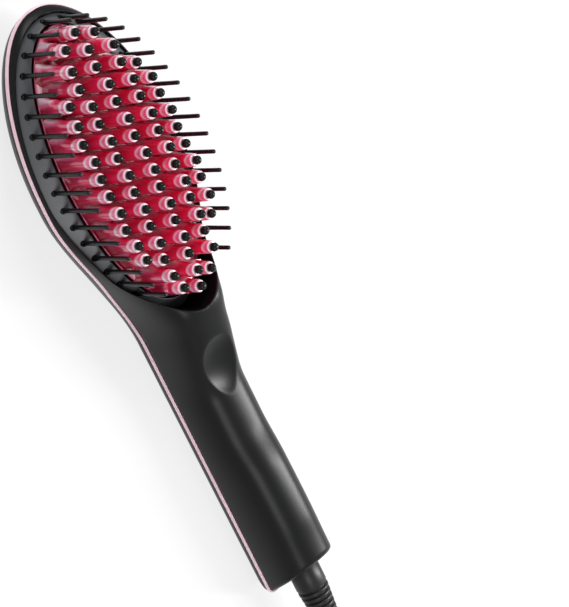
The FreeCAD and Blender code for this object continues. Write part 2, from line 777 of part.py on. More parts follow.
key_middle = "(sizes.bar_width + sizes.pocket_length) / 4"
for label, y in (("plus_switch", "sizes.pocket_centre + " + key_middle),
                 ("minus_switch", "sizes.pocket_centre - " + key_middle),
                 ("power_switch", "sizes.power_centre")):
    case = primitive("Box", label + "_case",
                     ("-sizes.switch_side / 2", y + " - sizes.switch_side / 2",
                      "sizes.board_bottom - sizes.switch_height"),
                     Length="sizes.switch_side", Width="sizes.switch_side", Height="sizes.switch_height")
    plunger = primitive("Cylinder", label + "_plunger",
                        ("0", y, "sizes.board_bottom - sizes.switch_height - sizes.plunger_height"),
                        Radius="sizes.plunger_radius", Height="sizes.plunger_height")
    fused(label, [case, plunger])

board_top = s.board_bottom + s.board_thickness
screw_depth = s.board_thickness + s.screw_reach - s.hole_gap
feature("board_screws", Part.makeCompound([
    spindle([
        (s.screw_radius, -screw_depth),
        (s.screw_radius, 0),
        (s.screw_head_radius, 0),
        (s.screw_head_radius, s.screw_head_height),
    ], SCREW_SIDES, Vec(0, post_y, board_top))
    for post_y in post_ys]))

# ---------------------------------------------------------------- strain relief, cord and plug

RELIEF_SIDES = 24
flange_y = (end_y + (s.relief_height + s.relief_flange_radius - s.handle_parting) * s.end_slope
            + s.wall * math.hypot(1, s.end_slope) + s.seat_gap)
wall_y = end_y + (s.relief_height - s.handle_parting) * s.end_slope
sleeve_end = wall_y - s.relief_sleeve
relief_end = sleeve_end - s.rib_count * s.rib_pitch
flange_back = flange_y + s.relief_flange_length
profile = [(s.relief_flange_radius, 0), (s.relief_flange_radius, s.relief_flange_length - s.rib_flank),
           (s.relief_radius, s.relief_flange_length), (s.relief_radius, flange_back - sleeve_end)]
for number in range(int(s.rib_count)):
    share = number / (s.rib_count - 1)
    rib = s.relief_radius + (s.relief_tip_radius - s.relief_radius) * share
    start = flange_back - sleeve_end + number * s.rib_pitch
    profile += [(rib - s.rib_depth, start + s.rib_flank), (rib - s.rib_depth, start + s.rib_groove),
                (rib, start + s.rib_groove + s.rib_flank), (rib, start + s.rib_pitch)]
feature("strain_relief", spindle(profile, RELIEF_SIDES, Vec(0, flange_back, s.relief_height),
                                 Vec(0, -1, 0)))


def cord_tube(points):
    """Round tube: straight bars joined by arcs that meet them smoothly."""
    sections = []
    length = 0.0
    here = points[0]
    for before, corner, after in zip(points, points[1:], points[2:]):
        back_way = (before - corner).normalize()
        on_way = (after - corner).normalize()
        turn = math.pi - back_way.getAngle(on_way)
        reach = 0.45 * min(before.distanceToPoint(corner), after.distanceToPoint(corner))
        radius = reach / math.tan(turn / 2)
        print("cord bend radius", round(radius, 1))
        start = corner + back_way * reach
        inward = (back_way + on_way).normalize()
        centre = corner + inward * (radius / math.cos(turn / 2))
        disc = Part.Face(Part.Wire(Part.makeCircle(s.cord_radius, start, -back_way)))
        sections.append(round_bar(s.cord_radius, here, here.distanceToPoint(start), -back_way))
        sections.append(disc.revolve(centre, on_way.cross(back_way), math.degrees(turn)))
        length += here.distanceToPoint(start) + radius * turn
        here = corner + on_way * reach
    last = points[-1] - here
    sections.append(round_bar(s.cord_radius, here, last.Length, last))
    tube = sections[0].fuse(sections[1:])
    print("cord volume over section times length",
          round(tube.Volume / (math.pi * s.cord_radius ** 2 * (length + last.Length)), 4))
    return tube


# The spare length is wound into a coil beyond the cord end, and the plug lies beside it.
outside = "(sizes.coil_turn_radius + sizes.coil_columns * sizes.cord_radius)"
inside = "(sizes.coil_turn_radius - sizes.coil_columns * sizes.cord_radius)"
stack = "(2 * sizes.coil_layers * sizes.cord_radius)"
coil_at = ("sizes.coil_across", "sizes.coil_along", "0")
coil = cut("cord_coil",
           primitive("Cylinder", "coil_outside", coil_at, Radius=outside, Height=stack),
           primitive("Cylinder", "coil_inside", coil_at, Radius=inside, Height=stack))
nodes.append(coil)

coil_x = s.coil_across
coil_y = s.coil_along
lead_in = [
    Vec(0, relief_end, s.relief_height),
    Vec(0, -198, s.relief_height),
    Vec(3, -219, 11.0),
    Vec(9, -237, 4.6),
    Vec(24, -272, s.cord_radius),
]
lead_out = [Vec(s.plug_across, coil_y, s.plug_height / 2),
            Vec(s.plug_across, s.plug_front, s.plug_height / 2)]
doc.recompute()
bundle_half = s.coil_columns * s.cord_radius
bundle_foot = Vec(coil_x, coil_y, -SLACK)
bundle = round_bar(s.coil_turn_radius + bundle_half, bundle_foot, 3 * SLACK)
bundle = bundle.cut(round_bar(s.coil_turn_radius - bundle_half, bundle_foot, 3 * SLACK))
feature("cord", Part.makeCompound([cord_tube(lead_in).cut(bundle), cord_tube(lead_out).cut(bundle)]))

# A hook-and-loop tie bridges the bundle and reaches the table inside and outside it.
tie_band = primitive("Box", "tie_band",
                     ("sizes.coil_across - sizes.tie_width / 2",
                      f"sizes.coil_along - {outside} - sizes.tie_thickness", "0"),
                     Length="sizes.tie_width", Height=f"{stack} + sizes.tie_thickness",
                     Width=f"{outside} - {inside} + 2 * sizes.tie_thickness")
tie_core = primitive("Cylinder", "tie_core", coil_at,
                     Radius=f"{inside} - sizes.tie_thickness", Height=f"2 * {stack}")
nodes.append(cut("coil_tie", cut("tie_bridge", tie_band, coil), tie_core))

# Moulded plug with a tapering neck and two flat pins.
along_plug = FreeCAD.Rotation(Vec(0, 0, 1), Vec(0, 1, 0))
plug_centre = "sizes.plug_across"
grip_start = "(sizes.plug_front + sizes.plug_neck)"
grip_block = primitive("Box", "plug_block", (f"{plug_centre} - sizes.plug_width / 2", grip_start, "0"),
                       Length="sizes.plug_width", Width="sizes.plug_length", Height="sizes.plug_height")
plug_neck = primitive("Cone", "plug_neck", (plug_centre, "sizes.plug_front", "sizes.plug_height / 2"),
                      along_plug, Radius1="sizes.plug_neck_start", Radius2="sizes.plug_neck_end",
                      Height="sizes.plug_neck")
doc.recompute()
grip = doc.addObject("Part::Fillet", "plug_grip")
grip.Label = "plug_grip"
grip.Base = grip_block
lengthwise = [number for number, edge in enumerate(grip_block.Shape.Edges, 1)
              if abs(edge.tangentAt(0).y) > 0.9]
grip.Edges = [(number, s.plug_rounding, s.plug_rounding) for number in lengthwise]
fused("plug", [grip, plug_neck])
pins = []
for name, side in (("plug_pin_a", "-"), ("plug_pin_b", "+")):
    pins.append(primitive(
        "Box", name,
        (f"{plug_centre} {side} sizes.pin_spacing / 2 - sizes.pin_thickness / 2",
         f"{grip_start} + sizes.plug_length", "(sizes.plug_height - sizes.pin_width) / 2"),
        Length="sizes.pin_thickness", Width="sizes.pin_length", Height="sizes.pin_width"))
fused("plug_pins", pins)

# ---------------------------------------------------------------- check and write

doc.recompute()
for item in doc.Objects:
    if any(state in ("Invalid", "Error") for state in item.State):
        raise RuntimeError(f"{item.Label} failed to compute: {item.State}")
for node in nodes:
    shape = node.Shape
    if shape.isNull() or not shape.isValid() or not shape.Solids:
        raise RuntimeError(f"{node.Label} has no valid solid")
    print(f"{node.Label:16s} {len(shape.Solids):3d} solids {shape.Volume:10.1f} mm3")
    shape.exportStep(f"parts/{node.Label}.step")
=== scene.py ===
import bmesh
import bpy
import numpy as np
from mathutils import Euler, Matrix, Vector
from mathutils.geometry import delaunay_2d_cdt


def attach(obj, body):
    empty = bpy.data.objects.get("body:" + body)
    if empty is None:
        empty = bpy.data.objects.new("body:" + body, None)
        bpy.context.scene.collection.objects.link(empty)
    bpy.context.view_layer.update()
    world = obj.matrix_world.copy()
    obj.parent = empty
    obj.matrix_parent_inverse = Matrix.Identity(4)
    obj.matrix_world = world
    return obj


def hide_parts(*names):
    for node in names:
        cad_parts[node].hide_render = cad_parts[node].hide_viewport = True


# Heated hair straightening brush, metres in the scene and millimetres in the shape functions.
# It lies on its back: +Z is the way the teeth point and +Y runs from the cord end to the head's tip.

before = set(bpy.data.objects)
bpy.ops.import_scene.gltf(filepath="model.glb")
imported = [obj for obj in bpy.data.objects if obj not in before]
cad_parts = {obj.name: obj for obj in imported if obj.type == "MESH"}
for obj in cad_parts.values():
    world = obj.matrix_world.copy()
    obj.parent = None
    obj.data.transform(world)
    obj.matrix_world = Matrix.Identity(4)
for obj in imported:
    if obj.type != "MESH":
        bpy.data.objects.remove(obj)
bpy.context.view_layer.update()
MM = 0.001


def placed(name, data):
    """New object with this data, put into the scene."""
    thing = bpy.data.objects.new(name, data)
    bpy.context.scene.collection.objects.link(thing)
    return thing


# ------ camera

CAMERA_PLACE = (-0.540348, 0.366955, 0.969501)
CAMERA_TURN = (-1.81896, -36.84228, -30.93903)  # degrees about X, Y and Z

camera = placed("camera", bpy.data.cameras.new("camera"))
camera.matrix_world = (Matrix.Translation(CAMERA_PLACE)
                       @ Euler(np.radians(CAMERA_TURN)).to_matrix().to_4x4())
camera.data.lens = 160.0
camera.data.sensor_width = 36.0
camera.data.clip_end = 20.0
bpy.context.scene.camera = camera
bpy.context.scene.view_settings.view_transform = "Standard"

# ------ sizes of the form

# Places along the body: its ends, the widest line of the head, where the head narrows, where the seam
# drops and levels out, and the hump behind the brush field.
TIP, END, WIDEST, SHOULDER = 142.0, -142.0, 68.0, 64.0
DROP, DROP_END, NECK = 52.0, -8.0, 2.0
HEAD_REACH, SHOULDER_LENGTH = TIP - WIDEST, 76.0
HEAD_WIDTH, HANDLE_WIDTH = 74.0, 31.6
HEAD_SEAM, HANDLE_SEAM = 24.0, 9.5
# Height of the front along the middle, and how square the two halves of the section are.
CROWN = ((END, 34.2), (END + 30, 34.9), (END + 58, 34.3), (NECK - 64, 31.9), (NECK - 46, 32.0),
         (NECK - 29, 35.8), (NECK - 13, 41.2), (NECK, 45.0), (NECK + 26, 41.5), (DROP, 36.0))
FRONT_FULL = ((END, 0.69), (NECK - 46, 0.70), (NECK - 17, 0.85), (NECK + 26, 0.85), (SHOULDER, 0.69))
BACK_FULL = ((NECK - 17, 0.88), (WIDEST - 8, 0.60))
END_SLOPE = 0.4
CORNER, HEEL = 2.0, 6.5
TRIM_HALF = 1.2
FIELD_MIDDLE = 70.0
RELIEF_HEIGHT = 18.0
CORD_RADIUS = 3.1

# ------ mesh helpers


def piece(name, points, faces, finish, body="housing", replaced=(), inside=None, weld=0.01):
    """Mesh object from millimetre points; faces are index rows. Doubles merge, normals turn outwards.

    For an open sheet, inside is a point behind it. With no weld the points keep their order.
    """
    mesh = bpy.data.meshes.new(name)
    mesh.from_pydata((np.asarray(points, float) * MM).tolist(), [], [list(face) for face in faces])
    work = bmesh.new()
    work.from_mesh(mesh)
    if weld:
        bmesh.ops.remove_doubles(work, verts=work.verts, dist=weld * MM)
        bmesh.ops.dissolve_degenerate(work, edges=work.edges, dist=weld * MM / 10)
    bmesh.ops.recalc_face_normals(work, faces=work.faces)
    if inside is not None:
        behind = Vector(inside) * MM
        lean = sum((face.calc_center_median() - behind).dot(face.normal) * face.calc_area()
                   for face in work.faces)
        if lean < 0:
            bmesh.ops.reverse_faces(work, faces=work.faces)
    work.to_mesh(mesh)
    work.free()
    thing = placed(name, mesh)
    mesh.materials.append(finish.material)
    mesh.shade_smooth()
    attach(thing, body)
    if replaced:
        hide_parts(*replaced)
    return thing


def grid(points, closed_rows=False, closed_columns=False):
    """A grid of points (rows x columns x 3) as one list of points and its quads."""
    rows, columns = points.shape[:2]
    row = np.arange(rows if closed_rows else rows - 1)[:, None]
    column = np.arange(columns if closed_columns else columns - 1)[None, :]
    next_row = (row + 1) % rows
    next_column = (column + 1) % columns
    quads = np.stack(np.broadcast_arrays(row * columns + column, row * columns + next_column,
                                         next_row * columns + next_column,
                                         next_row * columns + column), -1)
    return points.reshape(-1, 3), quads.reshape(-1, 4).tolist()


def tube(rings):
    """Points and faces of a closed surface through rings (rings x sides x 3), with flat ends."""
    points, faces = grid(rings, closed_columns=True)
    last = list(range(len(points) - rings.shape[1], len(points)))
    return points, faces + [list(range(rings.shape[1]))[::-1], last]


def joined(forms):
    """Several forms, each of them points and faces, as one."""
    points, faces, start = [], [], 0
    for more_points, more_faces in forms:
        points.append(more_points)
        faces += [[index + start for index in face] for face in more_faces]
        start += len(more_points)
    return np.concatenate(points), faces


def wall(thing, thickness):
    """Gives a sheet its thickness, all of it behind the outer face."""
    added = thing.modifiers.new("wall", "SOLIDIFY")
    added.thickness, added.offset = thickness * MM, -1.0
    added.use_even_offset = added.use_quality_normals = True


def bevel(thing, width, segments):
    """Rounds the sharp edges of a piece."""
    added = thing.modifiers.new("edge", "BEVEL")
    added.width, added.segments = width * MM, segments
    added.limit_method, added.angle_limit = "ANGLE", 0.7


def evenly_round(sides):
    """Angles of points spread evenly round a circle."""
    return np.arange(sides) * 2 * np.pi / sides


def circle(angle):
    """Points of the unit circle at these angles."""
    return np.stack([np.cos(angle), np.sin(angle)], -1)


def arc(middle, radius, start, stop, count):
    """Points of a circular arc between two angles in degrees."""
    return circle(np.radians(np.linspace(start, stop, count))) * radius + middle


def lifted(rings, heights):
    """Rings of flat points (rings x sides x 2), each brought to its height."""
    heights = np.asarray(heights, float)[:, None, None]
    return np.concatenate([rings, np.broadcast_to(heights, (*rings.shape[:2], 1))], -1)


def revolve(profile, sides):
    """Points (profile x sides x 3) of a profile of (radius, height) turned round the Z axis."""
    radius, height = np.array(profile, float).T
    return lifted(radius[:, None, None] * circle(evenly_round(sides)), height)


def smooth(keys, at):
    """Cubic Hermite curve through the key points with harmonic-mean slopes, level beyond its ends."""
    x, y = np.array(keys, float).T
    rise = np.diff(y) / np.diff(x)
    before, after = rise[:-1], rise[1:]
    total = np.where(before * after > 0, before + after, 1.0)
    slope = np.r_[0.0, np.where(before * after > 0, 2 * before * after / total, 0.0), 0.0]
    at = np.clip(at, x[0], x[-1])
    i = np.clip(np.searchsorted(x, at, side="right") - 1, 0, len(x) - 2)
    span = x[i + 1] - x[i]
    u = (at - x[i]) / span
    ends = y[i] * (1 + 2 * u) * (1 - u) ** 2 + y[i + 1] * (3 - 2 * u) * u * u
    return ends + span * (slope[i] * u * (1 - u) ** 2 - slope[i + 1] * u * u * (1 - u))


def seam_height(y):
    """Level at the head, then two tangent arcs down to the handle, then level."""
    drop, length = HEAD_SEAM - HANDLE_SEAM, DROP - DROP_END
    radius = (length ** 2 + drop ** 2) / (4 * drop)
    high = HEAD_SEAM - radius + np.sqrt(radius ** 2 - np.clip(DROP - y, 0, length / 2) ** 2)
    low = HANDLE_SEAM + radius - np.sqrt(radius ** 2 - np.clip(y - DROP_END, 0, length / 2) ** 2)
    return np.where(y >= (DROP + DROP_END) / 2, high, low)


def bend(t, pull):
    """Distance across a cubic quarter from 1 at t = 0 to 0 at t = 1; bend(1 - t) is the distance up."""
    return (1 - t) ** 3 + 3 * (1 - t) ** 2 * t + 3 * (1 - t) * t * t * pull


def solve(function, target, shape):
    """Parameter from 0 to 1 at which a rising function meets the target, by halving the interval."""
    low, high = np.zeros(shape), np.ones(shape)
    for _ in range(40):
        middle = (low + high) / 2
        under = function(middle) < target
        low, high = np.where(under, middle, low), np.where(under, high, middle)
    return (low + high) / 2


def section(y, upper):
    """Half-width, seam height, rise (negative downwards) and fullness of the body's section at y."""
    taper = np.sqrt(np.clip(1 - (np.maximum(y - WIDEST, 0) / HEAD_REACH) ** 2, 0, 1))
    along = np.clip((SHOULDER - y) / SHOULDER_LENGTH, 0, 1)
    share = 0.5 + 0.5 * np.cos(np.pi * along)
    width = (HANDLE_WIDTH + (HEAD_WIDTH - HANDLE_WIDTH) * share) / 2 * taper
    seam = seam_height(y)
    if upper:
        return width, seam, (smooth(CROWN, y) - seam) * taper, smooth(FRONT_FULL, y)
    return width, seam, -seam * taper, smooth(BACK_FULL, y)


# ------ finishes


class Value:
    """A socket of a material's nodes; arithmetic on it adds Math nodes."""

    def __init__(self, finish, socket):
        self.finish, self.socket = finish, socket

    def join(self, operation, *values):
        return self.finish.node("Math", {"operation": operation}, *values)

    def __add__(self, other):
        return self.join("ADD", self, other)

    def __sub__(self, other):
        return self.join("SUBTRACT", self, other)

    def __rsub__(self, other):
        return self.join("SUBTRACT", other, self)

    def __mul__(self, other):
        return self.join("MULTIPLY", self, other)

    __radd__, __rmul__ = __add__, __mul__


class Finish:
    """A Principled material. Steady values sit on its sockets; varying ones come from expressions."""

    def __init__(self, name, slot=None, **steady):
        self.material = bpy.data.materials.new(name)
        self.material.use_nodes = True
        self.slot = slot
        self.surface = self.material.node_tree.nodes["Principled BSDF"]
        self.place = self.node("TexCoord", output="Object")
        self.vary(**steady)

    def node(self, kind, settings=None, *values, output=0, **named):
        """Any other node: its settings first, then its sockets in order or by name."""
        made = self.material.node_tree.nodes.new("ShaderNode" + kind)
        for key, value in (settings or {}).items():
            setattr(made, key, value)
        for key, value in [*enumerate(values), *named.items()]:
            self.feed(made.inputs[key if isinstance(key, int) else key.replace("_", " ")], value)
        return Value(self, made.outputs[output])

    def feed(self, socket, value):
        if isinstance(value, Value):
            self.material.node_tree.links.new(value.socket, socket)
        else:
            socket.default_value = value

    def vary(self, **inputs):
        for key, value in inputs.items():
            self.feed(self.surface.inputs[key.replace("_", " ")], value)

    def noise(self, scale, detail=2.0, stretch=None, rough=0.5):
        """Noise from 0 to 1 with this many features in a metre, squeezed along the axes by stretch."""
        place = self.place
        if stretch:
            place = self.node("Mapping", None, Vector=place, Scale=stretch)
        return self.node("TexNoise", None, Vector=place, Scale=scale, Detail=detail, Roughness=rough)

    def between(self, value, low, high):
        """0 below low, 1 above high and a smooth step from one to the other."""
        return self.node("MapRange", {"interpolation_type": "SMOOTHSTEP"}, value, low, high)

    def blend(self, share, first, second):
        """Mix of two colours; share 0 is the first."""
        mixed = self.node("Mix", {"data_type": "RGBA"})
        node = mixed.socket.node
        for key, value in ((0, share), (6, first), (7, second)):
            self.feed(node.inputs[key], (*value, 1.0) if isinstance(value, tuple) else value)
        return Value(self, node.outputs[2])

    def bump(self, height, distance, strength=1.0):
        return self.node("Bump", None, Strength=strength, Distance=distance, Height=height)


def shades(shade, dark, light):
    """A darker and a lighter shade of a colour."""
    return [tuple(factor * part for part in shade) for factor in (dark, light)]


def moulded(name, slot, shade, rough, specular=0.5, grain=2600.0, depth=0.00002):
    """Moulded plastic or rubber: fine pebble grain, slow mottling and faint hand wear."""
    f = Finish(name, slot, Specular_IOR_Level=specular)
    mottle = f.noise(38.0, 3.0)
    rub = f.between(f.noise(16.0, 4.0), 0.52, 0.70)
    f.vary(Base_Color=f.blend(mottle, *shades(shade, 0.86, 1.14)),
           Roughness=rough - 0.06 * rub + 0.05 * mottle,
           Normal=f.bump(f.noise(grain), depth, 0.5))
    return f


def simple(name, slot, shade, rough, metallic=0.0, scale=300.0, stretch=None):
    """Plain part inside or beside the body: colour mottled by noise and lightly uneven gloss."""
    f = Finish(name, slot, Metallic=metallic)
    cloud = f.noise(scale, 3.0, stretch)
    f.vary(Base_Color=f.blend(cloud, *shades(shade, 0.8, 1.15)),
           Roughness=rough + 0.15 * cloud, Normal=f.bump(cloud, 0.00003, 0.4))
    return f


soft_black = moulded("soft_black", "soft_black", (0.0034, 0.0036, 0.0042), 0.31, 0.15)
frame_black = moulded("frame_black", "frame_black", (0.072, 0.077, 0.084), 0.38)
key_black = moulded("key_black", "key_rubber", (0.010, 0.0102, 0.0112), 0.36, 0.25, 3200.0)
cord_black = moulded("cord_black", "cord_rubber", (0.009, 0.009, 0.010), 0.36, 0.25, 1800.0)
plug_black = moulded("plug_black", "plug_rubber", (0.010, 0.010, 0.011), 0.38, 0.25)
relief_black = moulded("relief_black", "cord_rubber", (0.009, 0.009, 0.010), 0.36, 0.22)
rod_black = moulded("rod_black", "bristle_nylon", (0.005, 0.005, 0.006), 0.22, 0.20, 1500.0)
ball_black = moulded("ball_black", "tip_black", (0.003, 0.003, 0.0035), 0.13, 0.14, 900.0, 0.000004)
symbol_grey = simple("symbol_grey", "key_rubber", (0.10, 0.102, 0.108), 0.4, scale=600.0)


def pink_lacquer():
    """Pale pink lacquer with slow shifts of shade and fine orange peel."""
    f = Finish("trim_pink", "trim_pink", Coat_Weight=0.4, Coat_Roughness=0.12)
    f.vary(Base_Color=f.blend(f.noise(30.0), (0.95, 0.60, 0.70), (0.98, 0.70, 0.78)),
           Roughness=0.24 + 0.10 * f.noise(400.0),
           Normal=f.bump(f.noise(900.0), 0.000006, 0.4))
    return f


def coated_crimson():
    """Glossy ceramic coat: deep red low down, clear crimson higher up, a painted pale pink highlight, and a
    painted black shadow in the gap.

    A point attribute gives how far up a tooth a point is, lower on the side that faces the cord end; the deep
    red low down and on that side is painted shade. A second attribute gives the share of painted pale pink
    highlight and reflection.
    """
    f = Finish("coated_crimson", "plate_crimson", Coat_Roughness=0.06)
    climb_shade = f.node("Attribute", {"attribute_name": "climb_shade"}, output=2)
    painted_sheen = f.node("Attribute", {"attribute_name": "painted_sheen"}, output=2)
    uneven = climb_shade + 0.10 * (f.noise(160.0) - 0.5)
    # Painted shade: deep red low on the teeth and on their side facing the cord end, clear crimson higher up.
    coat = f.blend(f.between(uneven, -0.25, 0.75), (0.32, 0.006, 0.022), (0.82, 0.026, 0.125))
    # Painted highlight and reflection: pink, then pale pink, on the teeth's valleys, shoulders and the slab's
    # floor.
    painted_sheen = painted_sheen + 0.2 * (f.noise(330.0) - 0.5)
    coat = f.blend(f.between(painted_sheen, 0.1, 0.5), coat, (0.93, 0.17, 0.36))
    coat = f.blend(f.between(painted_sheen, 0.5, 0.95), coat, (0.98, 0.74, 0.81))
    # Painted shadow: near black below the plate's top, in the gap by the frame.
    height = f.node("SeparateXYZ", None, f.place, output=2)
    coat = f.blend(f.between(height, 0.0300, 0.0306), (0.010, 0.004, 0.005), coat)
    fleck = f.between(f.noise(2400.0, 1.0), 0.60, 0.74)
    f.vary(Base_Color=f.blend(fleck * 0.12, coat, (0.95, 0.35, 0.50)),
           Coat_Weight=f.between(height, 0.0300, 0.0312),
           Roughness=0.15 + 0.08 * f.noise(700.0, 3.0),
           Normal=f.bump(f.noise(420.0, 3.0), 0.00006, 0.5))
    return f


def brushed_metal():
    """Silver lacquer with fine lines drawn across, and smudges."""
    f = Finish("brushed_metal", "panel_metal", Metallic=0.92)
    lines = f.noise(420.0, 4.0, (1.0, 26.0, 1.0), 0.65)
    f.vary(Base_Color=f.blend(lines, (0.30, 0.31, 0.33), (0.52, 0.53, 0.55)),
           Roughness=0.24 + 0.16 * f.noise(45.0, 3.0) + 0.12 * lines,
           Normal=f.bump(lines, 0.00002, 0.35))
    return f


def clear_lens():
    """Clear plastic with a faint blue cast in patches, and smudges."""
    f = Finish("lens_clear", "clear_lens", Transmission_Weight=1.0, IOR=1.49)
    f.vary(Base_Color=f.blend(f.noise(60.0), (0.97, 0.985, 1.0), (1.0, 1.0, 1.0)),
           Roughness=0.02 + 0.05 * f.between(f.noise(140.0, 3.0), 0.55, 0.75))
    return f


def lit_display():
    """Backlit display: deep blue that turns lighter towards the head."""
    f = Finish("display_blue", "display_blue", Emission_Strength=0.55)
    place_y = f.node("SeparateXYZ", None, f.place, output=1)
    sky = f.between(place_y + 0.001 * f.noise(200.0), -0.0395, -0.0245)
    f.vary(Base_Color=f.blend(sky, (0.008, 0.030, 0.18), (0.010, 0.10, 0.22)),
           Emission_Color=f.blend(sky, (0.010, 0.050, 0.42), (0.010, 0.24, 0.50)),
           Roughness=0.25 + 0.1 * f.noise(500.0))
    return f


def glowing_digits():
    """Cyan light of the signs, brighter in patches."""
    f = Finish("digit_glow", "display_blue", Emission_Strength=1.0)
    f.vary(Base_Color=f.blend(f.noise(300.0), (0.15, 0.70, 0.75), (0.2, 0.8, 0.8)),
           Emission_Color=f.blend(f.noise(120.0), (0.20, 0.90, 0.92), (0.45, 1.0, 1.0)))
    return f


def board_lacquer():
    """Green solder mask with paler tracks along the edges of Voronoi cells."""
    f = Finish("board_green")
    cells = f.node("TexVoronoi", {"feature": "DISTANCE_TO_EDGE"}, Vector=f.place, Scale=260.0)
    tracks = f.between(cells, 0.03, 0.07)
    f.vary(Base_Color=f.blend(tracks, (0.10, 0.26, 0.09), (0.012, 0.09, 0.035)),
           Roughness=0.35 + 0.15 * f.noise(300.0), Normal=f.bump(tracks, 0.00002))
    return f


def woven_tape():
    """Dark woven tape: two crossed waves of thread."""
    f = Finish("tie_weave", "tie_fabric")
    warp, weft = (f.node("TexWave", {"bands_direction": way}, Vector=f.place, Scale=300.0) for way in "XY")
    f.vary(Base_Color=f.blend(warp * weft, (0.010, 0.010, 0.011), (0.045, 0.045, 0.048)),
           Roughness=0.75 + 0.15 * f.noise(300.0), Normal=f.bump(warp * weft, 0.0001))
    return f


# ------ cord, coil and plug

COIL_X, COIL_Y = -20.0, -276.0
PLUG_X, PLUG_Y, PLUG_Z = -60.0, -238.0, 8.5
TURNS_IN, TURNS_UP, TURNS_STEP = 2.9, 0.42, 24


def coil_route():
    """Spiral inwards on the table, a climb inside it, and a spiral outwards on top, clockwise.

    The radius runs evenly from the outer to the inner turn and back; the spline cuts inside its
    control points, so they stand a little further out.
    """
    total = 2 * TURNS_IN + 0.7
    turns = np.linspace(0, total, round(total * TURNS_STEP) + 1)
    outer, inner = 46.0, 27.8
    radius = np.interp(turns, [0, TURNS_IN, total - TURNS_IN, total], [outer, inner, inner, outer])
    lift = np.clip((turns - TURNS_IN + 0.08) / TURNS_UP, 0, 1)
    height = CORD_RADIUS + 2 * CORD_RADIUS * lift * lift * (3 - 2 * lift)
    angle = -2 * np.pi * turns
    reach = radius / (0.75 + 0.25 * np.cos(2 * np.pi / TURNS_STEP))
    return np.c_[circle(angle) * reach[:, None] + [COIL_X, COIL_Y], height]


lead_in = [(0, -175.1, 18), (0, -198, 18), (3, -219, 11.0), (9.5, -236, 4.6), (19, -248, 3.2),
           (24.3, -261, 3.1)]
lead_out = [(-65.5, -263, 9.0), (-62.5, -252, 8.6), (-60.2, -244, 8.5), (PLUG_X, PLUG_Y, PLUG_Z)]
route = np.concatenate([lead_in, coil_route(), lead_out]) * MM

curve = bpy.data.curves.new("power_cord", "CURVE")
curve.dimensions = "3D"
spline = curve.splines.new("NURBS")
spline.points.add(len(route) - 1)
spline.points.foreach_set("co", np.c_[route, np.ones(len(route))].ravel())
spline.order_u = 3
spline.use_endpoint_u = True
curve.resolution_u = 6
line_mesh = bpy.data.meshes.new_from_object(bpy.data.objects.new("cord_line", curve))
curve.bevel_depth = CORD_RADIUS * MM
curve.bevel_resolution = 5
curve.use_fill_caps = True
curve.materials.append(cord_black.material)
cord = placed("power_cord", curve)
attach(cord, "housing")
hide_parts("cord", "cord_coil")


def superellipse(half_x, half_z, power, angle):
    """Points of |x/a|^p + |z/b|^p = 1 at these angles."""
    at = circle(angle)
    return [half_x, half_z] * np.sign(at) * np.abs(at) ** (2 / power)


def plug_body():
    """Moulded plug: superellipse sections along +Y, with five grip grooves and a round ribbed neck."""
    stations = [(0.0, 4.3, 4.3, 2.0), (0.4, 4.5, 4.5, 2.0)]
    for k in range(5):
        for step, in_by in ((0.0, 0.0), (0.35, 0.8), (1.15, 0.8), (1.5, -0.1)):
            rib = 4.6 + 0.3 * k - in_by
            stations.append((1.6 + 2.6 * k + step, rib, rib, 2.0))
    stations += [(15.0, 6.3, 6.2, 2.1), (16.1, 8.4, 7.4, 2.6), (17.6, 10.6, 8.2, 3.2),
                 (20.0, 12.0, 8.45, 3.6)]
    stations += [(24.0 + 3.2 * k + step, half, 8.5, 4.0) for k in range(5)
                 for step, half in ((0.0, 12.5), (0.3, 11.9), (1.1, 11.9), (1.4, 12.5))]
    stations += [(46.0, 12.5, 8.5, 4.0), (48.8, 12.3, 8.4, 4.0), (49.7, 11.8, 7.9, 4.0),
                 (50.0, 11.0, 7.1, 4.0)]
    rings = np.stack([superellipse(*station[1:], evenly_round(48)) for station in stations])
    return tube(lifted(rings, [station[0] for station in stations])[..., [0, 2, 1]]
                + [PLUG_X, PLUG_Y, PLUG_Z])


plug = piece("cord_plug", *plug_body(), plug_black, replaced=["plug"])


def tie_band():
    """Strap over the turns: the upper half of a superellipse, swept along X, with a thickness."""
    count, half_width, out_by = 48, 4.5, 37.0
    angle = np.linspace(0, np.pi, count)
    outer = superellipse(13.3, 13.25, 7.0, angle)
    inner = superellipse(12.45, 12.45, 7.0, angle)
    corners = ((-half_width, outer), (half_width, outer), (half_width, inner), (-half_width, inner))
    points = np.stack([np.c_[np.full(count, COIL_X + x), ring[:, 0] + COIL_Y - out_by, ring[:, 1]]
                       for x, ring in corners])
    points, faces = grid(points, closed_rows=True)
    ends = [[first + side * count for side in range(4)] for first in (0, count - 1)]
    return points, faces + ends


tie = piece("cord_tie", *tie_band(), woven_tape(), replaced=["coil_tie"])

# ------ the two shells

SIDE_COLUMNS = 34
BORE_RADIUS = 7.55
THUMB_RADIUS, THUMB_Y, THUMB_Z = 30.0, NECK - 38.5, 61.0
PANEL_MIDDLE, PANEL_ARC = -59.0, 15.5

# Brush field: its half-width, how far it reaches from the widest line each way, the pulls of its
# cubic quarters. The shell's window leaves a gap round it, which the frame reaches into.
FIELD_HALF, FIELD_TO_TIP, FIELD_TO_TAIL = 35.0, 69.3, 67.5
ROUND_PULL, TAIL_PULL, TAIL_RISE_PULL = 0.5523, 0.45, 0.405
WINDOW_GAP, FRAME_OVERLAP = 0.8, 0.65
WINDOW_FLOOR, RECESS_DEPTH = 25.6, 1.45


def rise_of(t, pull):
    """Distance along a cubic quarter from 0 at t = 0 to 1 at t = 1."""
    return 3 * t * (1 - t) ** 2 * pull + 3 * t * t * (1 - t) + t ** 3


